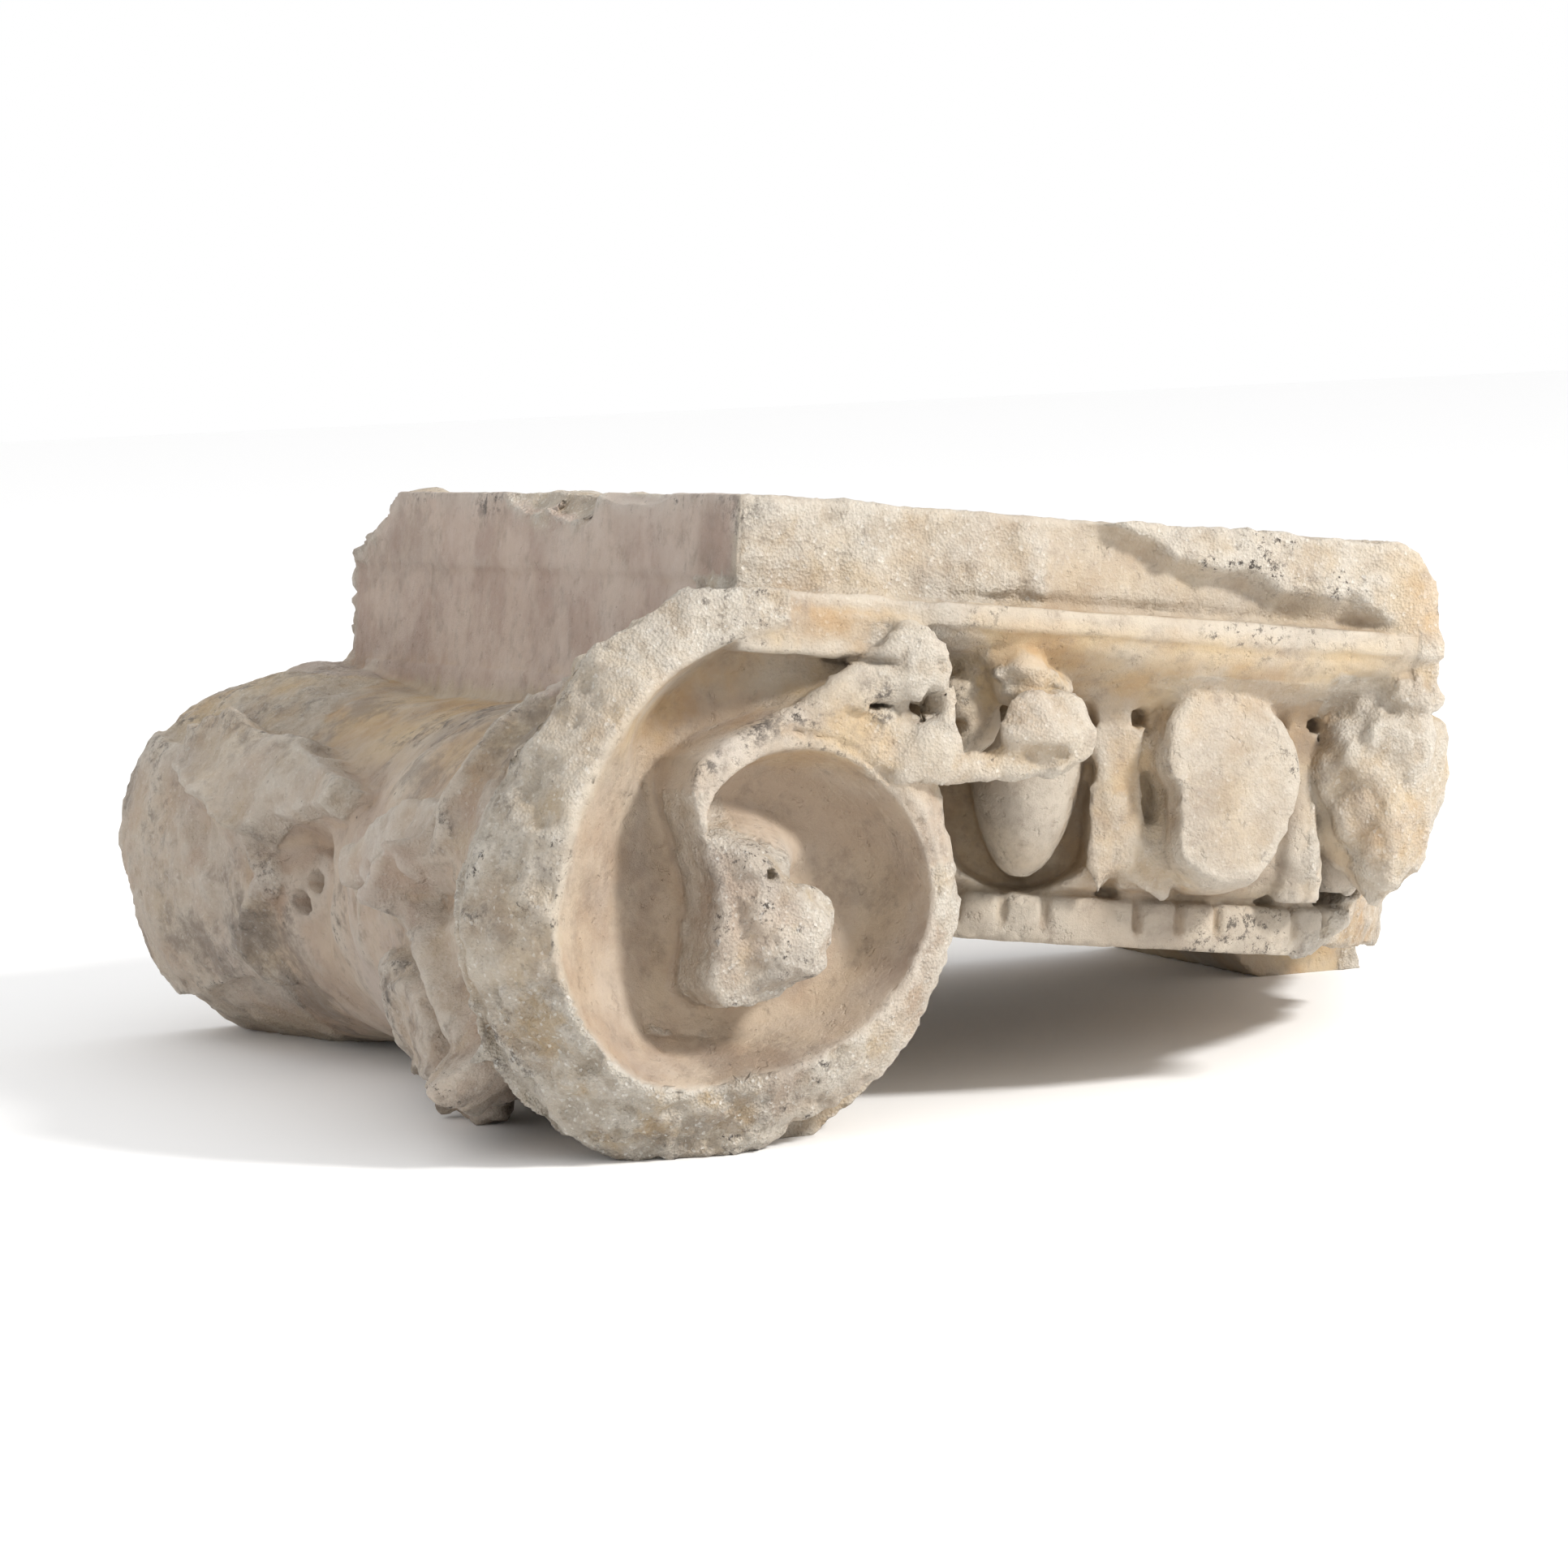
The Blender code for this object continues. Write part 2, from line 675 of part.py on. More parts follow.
def settle(capital, cutters):
    """Parent the block and its guides to the resting pose, with the ground at Z = 0 under its middle."""
    rest = bpy.data.objects.new("rest_pose", None)
    bpy.context.scene.collection.objects.link(rest)
    turn = rest_turn()
    rest.rotation_euler = turn.to_euler()
    capital.parent = rest
    for guide in cutters.objects:
        guide.parent = rest
    bpy.context.view_layer.update()
    seen = capital.evaluated_get(bpy.context.evaluated_depsgraph_get())
    points = [capital.matrix_world @ vertex.co for vertex in seen.data.vertices]
    low = [min(point[axis] for point in points) for axis in range(3)]
    high = [max(point[axis] for point in points) for axis in range(3)]
    rest.location = (-(low[0] + high[0]) / 2, -(low[1] + high[1]) / 2, -low[2])


def build():
    clear_scene()
    home = collection("ionic_capital_parts")
    cutters = collection("cutters")
    stone = marble()

    body_low = (LEFT, BODY_RECESS, BODY_UNDER)
    body_high = (BLOCK_RIGHT, REAR, ABACUS_TOP - CLEAR / 2)
    fillet_low = (FILLET_LEFT, FRONT + JOINT_STEP / 5, FILLET_BOTTOM)
    fillet_high = (BLOCK_RIGHT - JOINT_STEP, BODY_RECESS + CLEAR, FILLET_TOP)
    band_high = (BLOCK_RIGHT - 2 * JOINT_STEP, BODY_RECESS + CLEAR + JOINT_STEP, FILLET_TOP + JOINT_STEP / 2)
    capital = box("ionic_capital", body_low, body_high, home)
    solids = [
        abacus_block(cutters),
        box("fillet", fillet_low, fillet_high, cutters),
        box("band", (EYE_X, BAND_FRONT, BAND_BOTTOM), band_high, cutters),
        echinus(cutters),
        bolster(cutters),
        stump(cutters),
        rear_volute(cutters),
        volute_drum(cutters),
        canalis(cutters),
        shoulder(cutters),
    ]
    for row in LEAF_LUMPS:
        solids.append(leaf_lump(*row, cutters))
    for item in solids:
        combine(capital, item, "UNION", cutters)
    combine(capital, channel_cutter(cutters), "DIFFERENCE", cutters)
    for step in range(EGGS_LEFT):
        combine(capital, egg(step, cutters, grow=EGG_GAP), "DIFFERENCE", cutters)
    carved = [volute_core(cutters), eye_stump(cutters), astragal(cutters)]
    carved += [egg(step, cutters) for step in range(EGGS_LEFT)]
    carved += palmette(cutters)
    for item in carved:
        combine(capital, item, "UNION", cutters)
    breaks = [
        abacus_front_break(cutters),
        abacus_cove(cutters),
        rear_corner_break(cutters),
        side_chip(cutters),
        shear(cutters),
        right_break(cutters),
        ground_cut(cutters),
    ]
    breaks += [dart_notch(step, cutters) for step in range(EGGS_LEFT - 1)]
    breaks += bead_notches(cutters)
    breaks += drill_holes(cutters)
    for item in breaks:
        combine(capital, item, "DIFFERENCE", cutters)
    capital.data.materials.append(stone)
    settle(capital, cutters)


build()
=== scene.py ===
"""Broken ionic capital of weathered marble, carved and worn, on a pale floor."""

import json
import math

import bpy
import numpy as np
from mathutils import Matrix, Vector


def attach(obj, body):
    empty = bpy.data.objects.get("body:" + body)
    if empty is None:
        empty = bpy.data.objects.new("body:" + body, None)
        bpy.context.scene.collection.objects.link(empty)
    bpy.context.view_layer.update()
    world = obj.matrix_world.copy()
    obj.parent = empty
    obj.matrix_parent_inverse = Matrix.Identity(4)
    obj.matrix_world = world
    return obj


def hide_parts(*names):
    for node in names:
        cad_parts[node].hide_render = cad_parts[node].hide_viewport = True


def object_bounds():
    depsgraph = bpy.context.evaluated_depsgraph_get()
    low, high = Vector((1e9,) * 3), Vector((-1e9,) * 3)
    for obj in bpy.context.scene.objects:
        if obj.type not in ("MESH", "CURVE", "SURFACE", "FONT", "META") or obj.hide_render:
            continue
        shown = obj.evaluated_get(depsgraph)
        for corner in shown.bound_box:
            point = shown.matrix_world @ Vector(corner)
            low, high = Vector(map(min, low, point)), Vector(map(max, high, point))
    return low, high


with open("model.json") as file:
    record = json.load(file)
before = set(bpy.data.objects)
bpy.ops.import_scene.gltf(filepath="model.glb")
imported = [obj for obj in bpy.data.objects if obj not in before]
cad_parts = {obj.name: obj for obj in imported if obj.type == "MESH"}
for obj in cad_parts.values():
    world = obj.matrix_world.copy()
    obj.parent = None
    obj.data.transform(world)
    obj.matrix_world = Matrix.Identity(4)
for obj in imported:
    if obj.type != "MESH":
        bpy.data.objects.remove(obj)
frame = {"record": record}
CAD_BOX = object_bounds()

# The capital is carved level, with the column's axis at X = 0, Y = 0 and the bed at Z = 0, in metres
UNIT = 0.030
TOP_RADIUS = 4.5 * UNIT
FRONT = -8.0 * UNIT
LEFT = -8.0 * UNIT
ABACUS_TOP = 0.180
SIDE_LINE = 0.144
FILLET_TOP = 0.1415
FILLET_BOTTOM = 0.132
FRONT_LOW = 0.116
FRONT_RIGHT = 0.100
ECHINUS_TOP = 0.133
REAR = 0.262
EYE = Vector((-0.220, 0.0, SIDE_LINE - TOP_RADIUS))
RIM_FRONT = FRONT + 0.002
BOLSTER = Vector((-0.232, 0.0, 0.006))
STUMP_X = 0.232
EGG_FIRST = -24.0
EGG_STEP = 22.5
VOXEL = 0.0017
MOST_FACES = 192000
MERGE_REACH = 0.00005
BOX_GAP = 0.0002

LATTICE = np.random.RandomState(11).rand(32, 32, 32) * 2.0 - 1.0


def ramp(value, low, high):
    """Smooth 0 to 1 between low and high."""
    share = np.clip((value - low) / (high - low), 0.0, 1.0)
    return share * share * (3.0 - 2.0 * share)


def peak(value, middle, reach):
    """1 at the middle, falling evenly to 0 at this reach."""
    return np.clip(1.0 - np.abs(value - middle) / reach, 0.0, 1.0)


def within(points, low, high):
    """Which points lie between the two corners."""
    return ((points > low) & (points < high)).all(axis=1)


def grain(points, size, octaves=3, seed=0.0):
    """Smooth noise of -1 to 1 with lumps of this size."""
    total = np.zeros(len(points))
    weight = 0.0
    for octave in range(octaves):
        share = 0.55 ** octave
        place = points / (size / 2.0 ** octave) + seed + 7.31 * octave
        cell = np.floor(place).astype(np.int64)
        part = place - cell
        part = part * part * (3.0 - 2.0 * part)
        for corner in range(8):
            dx, dy, dz = corner & 1, corner >> 1 & 1, corner >> 2 & 1
            wx = part[:, 0] if dx else 1.0 - part[:, 0]
            wy = part[:, 1] if dy else 1.0 - part[:, 1]
            wz = part[:, 2] if dz else 1.0 - part[:, 2]
            value = LATTICE[(cell[:, 0] + dx) % 32, (cell[:, 1] + dy) % 32, (cell[:, 2] + dz) % 32]
            total += share * wx * wy * wz * value
        weight += share
    return total / weight * 1.8


def facets(points, size, seed=0):
    """Broken facets: distance to the nearest of scattered points, 0 to about 1."""
    place = points / size
    cell = np.floor(place).astype(np.int64)
    best = np.full(len(points), 9.0)
    for dx in (-1, 0, 1):
        for dy in (-1, 0, 1):
            for dz in (-1, 0, 1):
                near = cell + (dx, dy, dz)
                i, j, k = ((near[:, n] + seed) % 32 for n in range(3))
                spot = near + 0.5 + 0.45 * np.stack(
                    [LATTICE[i, j, k], LATTICE[j, k, i], LATTICE[k, i, j]], axis=1
                )
                best = np.minimum(best, ((place - spot) ** 2).sum(axis=1))
    return np.sqrt(best)


def level_place():
    """Where the level block lies, from the bed's mount in the frame."""
    bed = next(mount for mount in frame["record"]["mounts"] if mount["name"] == "bed")
    upward = -Vector(bed["axis"])
    turn = Vector((0.0, 0.0, 1.0)).rotation_difference(upward).to_matrix().to_4x4()
    return Matrix.Translation(Vector(bed["pos_m"])) @ turn


def clear_choice():
    if bpy.context.object and bpy.context.object.mode != "OBJECT":
        bpy.ops.object.mode_set(mode="OBJECT")
    bpy.ops.object.select_all(action="DESELECT")


def choose(item):
    clear_choice()
    item.select_set(True)
    bpy.context.view_layer.objects.active = item


def points_of(item):
    flat = np.empty(len(item.data.vertices) * 3)
    item.data.vertices.foreach_get("co", flat)
    return flat.reshape(-1, 3)


def put_points(item, points):
    item.data.vertices.foreach_set("co", np.ascontiguousarray(points, dtype=np.float64).ravel())
    item.data.update()


def normals_of(item):
    flat = np.empty(len(item.data.vertices) * 3)
    item.data.vertices.foreach_get("normal", flat)
    return flat.reshape(-1, 3)


def sheet(name, across, up, shape):
    """Grid of this many cells, put in place by a function of its two shares."""
    clear_choice()
    bpy.ops.mesh.primitive_grid_add(x_subdivisions=across, y_subdivisions=up, size=1.0)
    item = bpy.context.object
    item.name = name
    shares = points_of(item)
    put_points(item, shape(shares[:, 0] + 0.5, shares[:, 1] + 0.5))
    return item


def open_edge(item):
    """Seam merged and the open edge chosen, in edit mode."""
    choose(item)
    bpy.ops.object.mode_set(mode="EDIT")
    bpy.ops.mesh.select_all(action="SELECT")
    bpy.ops.mesh.remove_doubles(threshold=MERGE_REACH)
    bpy.ops.mesh.select_all(action="DESELECT")
    bpy.ops.mesh.select_mode(type="EDGE")
    bpy.ops.mesh.select_non_manifold(extend=False, use_wire=False, use_boundary=True)


def turned_out(item):
    """Faces pointed outwards, and edit mode left."""
    bpy.ops.mesh.select_all(action="SELECT")
    bpy.ops.mesh.normals_make_consistent(inside=False)
    bpy.ops.object.mode_set(mode="OBJECT")
    return item


def close_back(item, shift, scale=(1.0, 1.0, 1.0), centre=(0.0, 0.0, 0.0)):
    """The open edge drawn back and filled."""
    open_edge(item)
    bpy.ops.mesh.extrude_region_move(TRANSFORM_OT_translate={"value": shift})
    bpy.ops.transform.resize(value=scale, center_override=centre)
    bpy.ops.mesh.edge_face_add()
    return turned_out(item)


def close_ends(item):
    """Each open ring filled."""
    open_edge(item)
    bpy.ops.mesh.fill_holes(sides=0)
    return turned_out(item)


def slab(name, low, high, cells=40):
    """Cut block between two corners, divided so that its faces can be worked."""
    clear_choice()
    middle = (Vector(low) + Vector(high)) / 2
    bpy.ops.mesh.primitive_cube_add(size=1.0, location=middle, scale=Vector(high) - Vector(low))
    item = bpy.context.object
    item.name = name
    bpy.ops.object.transform_apply(location=True, rotation=True, scale=True)
    bpy.ops.object.mode_set(mode="EDIT")
    bpy.ops.mesh.subdivide(number_cuts=cells)
    bpy.ops.object.mode_set(mode="OBJECT")
    put_points(item, held_left_of_break(points_of(item)))
    return item


def lump(name, centre, radii, turn=(0.0, 0.0, 0.0), rough=0.12, seed=0):
    """Rounded lump of stone, knocked about by noise."""
    clear_choice()
    bpy.ops.mesh.primitive_ico_sphere_add(subdivisions=5, radius=1.0)
    item = bpy.context.object
    item.name = name
    points = points_of(item)
    knock = 1.0 + rough * grain(points, 0.9, 3, seed + 0.37)
    angles = [math.radians(value) for value in turn]
    spin = Matrix.Rotation(angles[2], 3, "Z") @ Matrix.Rotation(angles[1], 3, "Y") @ Matrix.Rotation(angles[0], 3, "X")
    points = points * knock[:, None] * np.array(radii)
    put_points(item, points @ np.array(spin).T + np.array(centre))
    return item


def limb(name, spine, widths, flat=1.0, rough=0.08, seed=0, sides=40, lean=(0.0, 1.0, 0.0)):
    """Tapering limb along a bent spine, its ends closed; flat squeezes it along lean."""
    spine = np.array(spine, dtype=float)
    marks = np.linspace(0.0, 1.0, len(spine))
    steps = 48

    def shape(around, along):
        share = np.clip((along - 0.06) / 0.88, 0.0, 1.0)
        middle = np.stack([np.interp(share, marks, spine[:, n]) for n in range(3)], axis=1)
        ahead = np.stack([np.interp(np.clip(share + 0.04, 0, 1), marks, spine[:, n]) for n in range(3)], axis=1)
        behind = np.stack([np.interp(np.clip(share - 0.04, 0, 1), marks, spine[:, n]) for n in range(3)], axis=1)
        along_way = ahead - behind
        along_way /= np.linalg.norm(along_way, axis=1)[:, None]
        lean_way = np.array(lean) - (along_way @ np.array(lean))[:, None] * along_way
        lean_way /= np.linalg.norm(lean_way, axis=1)[:, None]
        side_way = np.cross(along_way, lean_way)
        width = np.interp(share, marks, widths)
        cap = np.sqrt(np.clip(np.minimum(along, 1.0 - along) / 0.06, 0.0, 1.0))
        angle = 2.0 * math.pi * around
        reach = (width * cap)[:, None]
        point = middle + reach * (np.cos(angle)[:, None] * side_way + flat * np.sin(angle)[:, None] * lean_way)
        knock = rough * grain(point, 0.014, 3, seed + 0.7)
        return point + (knock * width * np.minimum(cap, 1.0))[:, None] * (
            np.cos(angle)[:, None] * side_way + np.sin(angle)[:, None] * lean_way
        )

    return close_ends(sheet(name, sides, steps, shape))


# Broken face at the right: depth, and the place across where the stone ends there
BREAK_DEPTHS = (-0.300, -0.200, -0.150, -0.080, 0.000, 0.080, 0.150, 0.220, 0.320)
BREAK_PLACES = (0.0865, 0.0850, 0.098, 0.152, 0.200, 0.242, 0.270, 0.286, 0.290)
BREAK_HEIGHTS = (-0.10, -0.002, 0.009, 0.014, 0.031, 0.060, 0.136, 0.152, 0.166, 0.176, 0.181)
BREAK_RETREAT = (0.036, 0.030, 0.019, 0.010, 0.001, 0.000, 0.000, 0.001, 0.006, 0.014, 0.024)


def break_place(depth, height):
    edge = np.interp(depth, BREAK_DEPTHS, BREAK_PLACES)
    near = 1.0 - ramp(depth, -0.21, -0.05)
    return edge - near * np.interp(height, BREAK_HEIGHTS, BREAK_RETREAT)


def held_left_of_break(points, inset=0.0):
    points = points.copy()
    limit = break_place(points[:, 1], points[:, 2]) - inset
    points[:, 0] = np.minimum(points[:, 0], limit)
    return points


# Outline of the front volute at so many turns from its top, going left: radius, and how far back it stands
RIM = np.array((
    (0.000, 0.1335, -0.236), (0.030, 0.1345, -0.232), (0.053, 0.1362, -0.228), (0.077, 0.1325, -0.224),
    (0.098, 0.1325, -0.222), (0.106, 0.1300, -0.218), (0.121, 0.1230, -0.214), (0.143, 0.1185, -0.212),
    (0.159, 0.1200, -0.210), (0.177, 0.1145, -0.206), (0.194, 0.1155, -0.204), (0.220, 0.1180, -0.202),
    (0.260, 0.1190, -0.200), (0.300, 0.1170, -0.200), (0.340, 0.1150, -0.202), (0.370, 0.1160, -0.204),
    (0.405, 0.1165, -0.206), (0.450, 0.1120, -0.208), (0.500, 0.1035, -0.212), (0.545, 0.0910, -0.216),
    (0.600, 0.0885, -0.220), (0.660, 0.0895, -0.224), (0.715, 0.0865, -0.226), (0.760, 0.0895, -0.228),
    (0.830, 0.0905, -0.230), (0.880, 0.1000, -0.234), (0.940, 0.1200, -0.236), (1.000, 0.1335, -0.236),
))

# Channel of the volute at so many turns: outer radius, inner radius, depth
CHANNEL = np.array((
    (-0.070, 0.1330, 0.1310, 0.002),
    (-0.053, 0.1280, 0.1080, 0.010),
    (-0.035, 0.1240, 0.0960, 0.016),
    (-0.012, 0.1205, 0.0850, 0.024),
    (0.015, 0.1160, 0.0790, 0.030),
    (0.048, 0.1110, 0.0746, 0.036),
    (0.085, 0.1055, 0.0700, 0.040),
    (0.106, 0.1022, 0.0610, 0.041),
    (0.130, 0.0995, 0.0400, 0.041),
    (0.170, 0.0950, 0.0280, 0.041),
    (0.220, 0.0920, 0.0220, 0.040),
    (0.270, 0.0945, 0.0220, 0.040),
    (0.340, 0.0915, 0.0270, 0.040),
    (0.395, 0.0870, 0.0400, 0.038),
    (0.440, 0.0770, 0.0420, 0.036),
    (0.490, 0.0650, 0.0360, 0.034),
    (0.580, 0.0610, 0.0310, 0.033),
    (0.670, 0.0650, 0.0300, 0.034),
    (0.720, 0.0690, 0.0300, 0.035),
    (0.780, 0.0740, 0.0290, 0.037),
    (0.850, 0.0745, 0.0200, 0.038),
    (0.920, 0.0730, 0.0140, 0.038),
    (0.965, 0.0708, 0.0150, 0.037),
    (1.012, 0.0662, 0.0200, 0.034),
    (1.060, 0.0592, 0.0260, 0.028),
    (1.091, 0.0535, 0.0330, 0.020),
    (1.125, 0.0440, 0.0400, 0.004),
))


# Share of the channel's width that its slope takes up, at so many turns
SLOPE_TURNS = (-0.07, 0.02, 0.12, 0.45, 0.58, 0.75, 1.10)
SLOPE_SHARES = (0.30, 0.32, 0.90, 0.92, 0.60, 0.34, 0.30)


def channel_fall(turn, radius):
    """Depth of the channel below the rim, and 1 where the channel runs."""
    fall = np.zeros_like(radius)
    for shift in (-1.0, 0.0, 1.0):
        place = turn + shift
        outer = np.interp(place, CHANNEL[:, 0], CHANNEL[:, 1])
        inner = np.interp(place, CHANNEL[:, 0], CHANNEL[:, 2])
        depth = np.interp(place, CHANNEL[:, 0], CHANNEL[:, 3])
        share = (outer - radius) / np.maximum(outer - inner, 1e-5)
        reach = np.interp(place, SLOPE_TURNS, SLOPE_SHARES)
        slope = np.sin(0.5 * math.pi * np.clip(share / reach, 0.0, 1.0)) ** np.interp(reach, (0.3, 0.9), (0.75, 1.0))
        bowl = ramp(place, 0.82, 0.95)
        climb = 1.0 - bowl * 0.97 * ramp(share, 0.40, 1.0)
        wall = 1.0 - (1.0 - bowl) * ramp(share, 0.960, 1.0)
        inside = (share > 0.0) & (share < 1.0) & (place > CHANNEL[0, 0]) & (place < CHANNEL[-1, 0])
        fall = np.maximum(fall, np.where(inside, depth * slope * climb * wall, 0.0))
    return fall


def volute_front(turn, radius):
    """Front of the volute: how far back it stands at each place."""
    outline = np.interp(turn, RIM[:, 0], RIM[:, 1])
    back = np.interp(turn, RIM[:, 0], RIM[:, 2])
    edge = np.interp(turn, CHANNEL[:, 0], CHANNEL[:, 1])
    share = np.clip((radius - edge) / np.maximum(outline - edge, 1e-5), 0.0, 1.0)
    surface = RIM_FRONT + (back - RIM_FRONT) * share ** 1.4
    right = -radius * np.sin(2.0 * math.pi * turn)
    up = radius * np.cos(2.0 * math.pi * turn)
    core = np.clip(1.0 - np.hypot((right + 0.004) / 0.034, (up + 0.002) / 0.046), 0.0, 1.0)
    surface = surface - 0.004 * ramp(core, 0.0, 0.5)
    boss = np.minimum((right + 0.016 + 0.25 * up) / 0.010, (0.026 - right) / 0.004)
    boss = np.minimum(boss, np.minimum((up + 0.030 - 0.25 * right) / 0.006, (0.020 - up - 0.62 * right) / 0.008))
    surface = surface - 0.0075 * ramp(boss, -0.1, 1.0)
    knob = np.clip(1.0 - np.hypot(right - 0.008, up + 0.010) / 0.013, 0.0, 1.0)
    surface = surface - 0.0055 * ramp(knob, 0.0, 0.55)
    crest = peak(radius, 0.083, 0.0075) * ramp(turn, 0.60, 0.80)
    crease = peak(radius, 0.0765, 0.0022) * ramp(turn, 0.66, 0.78)
    surface = surface - 0.0016 * ramp(crest, 0.0, 0.6) + 0.0030 * ramp(crease, 0.0, 0.8)
    return surface + channel_fall(turn, radius)


def carved_volute():
    """Front volute with its spiral channel, broken rim and the broken core."""

    def shape(turn, share):
        outline = np.interp(turn, RIM[:, 0], RIM[:, 1])
        radius = outline * share
        angle = 2.0 * math.pi * turn
        depth = volute_front(turn, radius)
        return np.stack([EYE.x - radius * np.sin(angle), depth, EYE.z + radius * np.cos(angle)], axis=1)

    item = sheet("volute", 420, 110, shape)
    return close_back(item, (0.0, 0.030, 0.0), (0.93, 1.0, 0.93), tuple(EYE))


# Bolster: depth and radius of its turning
BOLSTER_DEPTHS = (-0.192, -0.180, -0.165, -0.150, -0.126, -0.060, 0.020, 0.100, 0.170, 0.215, 0.240, 0.262)
BOLSTER_RADII = (0.108, 0.100, 0.0965, 0.0955, 0.090, 0.084, 0.0805, 0.080, 0.084, 0.0905, 0.0915, 0.088)

# Radius on which the relief's degrees are laid out
BOLSTER_SPREAD = 0.092

# How far the bolster's rear end stands out to the left
BOLSTER_SWING = 0.0150

# Relief of the bolster: strokes along (depth, degrees about its axis), width, rise
STROKES = (
    (
        ((-0.178, 104), (-0.158, 118), (-0.140, 132), (-0.146, 142), (-0.150, 152), (-0.146, 163), (-0.126, 172)),
        0.0080, 0.0105,
    ),
    (((-0.120, 173), (-0.098, 181), (-0.121, 190), (-0.133, 201), (-0.147, 210), (-0.172, 218)), 0.0085, 0.0135),
    (((-0.178, 120), (-0.182, 146), (-0.186, 165), (-0.176, 180), (-0.178, 196)), 0.0085, -0.0080),
    (((-0.112, 185), (-0.140, 182), (-0.158, 178)), 0.0070, -0.0050),
    (((0.176, 160), (0.110, 173), (0.094, 184), (0.114, 197), (0.128, 211), (0.116, 220)), 0.0060, 0.0050),
    (((0.076, 171), (0.060, 182), (0.070, 200)), 0.0160, -0.0060),
    (((0.165, 172), (0.140, 184), (0.150, 200)), 0.0120, -0.0045),
    (((0.010, 168), (-0.004, 182), (0.000, 200)), 0.0140, 0.0035),
)

# Broken patches of leaf over the turning: corners as (depth, degrees), rise, softness of the edge
PATCHES = (
    (
        (
            (0.188, 157), (0.190, 144), (0.155, 140), (0.100, 141), (0.050, 146),
            (0.006, 153), (0.014, 164), (0.079, 167), (0.098, 173), (0.150, 165),
        ),
        0.0185, 0.0055,
    ),
    (
        (
            (-0.020, 172), (-0.049, 163), (-0.080, 158), (-0.112, 154), (-0.138, 154),
            (-0.128, 168), (-0.106, 184), (-0.080, 187), (-0.056, 181), (-0.028, 184),
        ),
        0.0125, 0.0050,
    ),
    (
        ((-0.040, 213), (-0.085, 201), (-0.123, 201), (-0.134, 210), (-0.132, 218), (-0.083, 223), (-0.034, 224)),
        0.0190, 0.0060,
    ),
    (((-0.018, 224), (-0.012, 238), (-0.069, 240), (-0.066, 224)), 0.0160, 0.0060),
    (((-0.080, 222), (-0.151, 215), (-0.189, 214), (-0.170, 227), (-0.100, 238), (-0.037, 250)), 0.0190, 0.0060),
    (
        (
            (0.300, 142), (0.300, 232), (0.125, 222), (0.130, 211), (0.115, 197),
            (0.094, 184), (0.108, 173), (0.176, 160), (0.205, 150),
        ),
        0.0050, 0.0050,
    ),
    (((-0.060, 173), (-0.098, 169), (-0.108, 176), (-0.085, 181)), -0.0080, 0.0050),
    (((0.062, 168), (0.080, 172), (0.060, 178), (0.046, 173)), -0.0070, 0.0060),
)


def patch_share(depth, across, corners, soft):
    """1 inside the outline, falling to 0 over the soft edge."""
    inside = np.zeros(len(depth), dtype=bool)
    near = np.full(len(depth), 9.0)
    for (d0, a0), (d1, a1) in zip(corners, corners[1:] + corners[:1]):
        crosses = (a0 > across) != (a1 > across)
        place = d0 + (across - a0) / (a1 - a0 if a1 != a0 else 1e-9) * (d1 - d0)
        inside ^= crosses & (depth < place)
        way = np.array((d1 - d0, a1 - a0))
        share = np.clip(((depth - d0) * way[0] + (across - a0) * way[1]) / (way @ way), 0.0, 1.0)
        near = np.minimum(near, np.hypot(depth - d0 - share * way[0], across - a0 - share * way[1]))
    signed = np.where(inside, near, -near)
    return ramp(signed, -soft * 0.4, soft * 0.6)


def bolster_relief(depth, degrees):
    """Rise of the leaves over the turning."""
    rise = np.zeros_like(depth)
    across = np.radians(degrees) * BOLSTER_SPREAD
    jitter = np.stack([depth, across, np.zeros_like(depth)], axis=1)
    bent_depth = depth + 0.0045 * grain(jitter, 0.022, 3, 12.0)
    bent_across = across + 0.0045 * grain(jitter, 0.022, 3, 15.0)
    for corners, height, soft in PATCHES:
        outline = tuple((place, math.radians(turn) * BOLSTER_SPREAD) for place, turn in corners)
        share = patch_share(bent_depth, bent_across, outline, soft)
        crown = 1.0 + 0.30 * grain(jitter, 0.045, 3, 18.0)
        rise += height * share * crown
    for path, width, height in STROKES:
        ends = np.array(path, dtype=float)
        ends[:, 1] = np.radians(ends[:, 1]) * BOLSTER_SPREAD
        near = np.full(len(depth), 9.0)
        for first, last in zip(ends, ends[1:]):
            way = last - first
            share = ((depth - first[0]) * way[0] + (across - first[1]) * way[1]) / (way @ way)
            share = np.clip(share, 0.0, 1.0)
            gap = np.hypot(depth - first[0] - share * way[0], across - first[1] - share * way[1])
            near = np.minimum(near, gap)
        rise += height * np.exp(-((near / width) ** 3.4))
    return rise


def carved_bolster():
    """Left bolster with its leaves, running back to the rear volute."""

    def shape(around, along):
        depth = BOLSTER_DEPTHS[0] + (REAR - BOLSTER_DEPTHS[0]) * along
        angle = 2.0 * math.pi * around
        radius = np.interp(depth, BOLSTER_DEPTHS, BOLSTER_RADII)
        point = np.stack([np.cos(angle) * radius, depth, np.sin(angle) * radius], axis=1)
        rise = bolster_relief(depth, np.degrees(angle))
        rise += 0.0016 * grain(point, 0.030, 3, 3.1) + 0.0022 * grain(point, 0.070, 2, 5.4)
        radius = radius + rise
        middle = BOLSTER.x - BOLSTER_SWING * ramp(depth, 0.050, 0.200)
        return np.stack([middle + np.cos(angle) * radius, depth, BOLSTER.z + np.sin(angle) * radius], axis=1)

    return close_ends(sheet("bolster", 400, 260, shape))


# How far the front of the fillet's underside stands behind the abacus line
FILLET_SHADOW = -0.0030

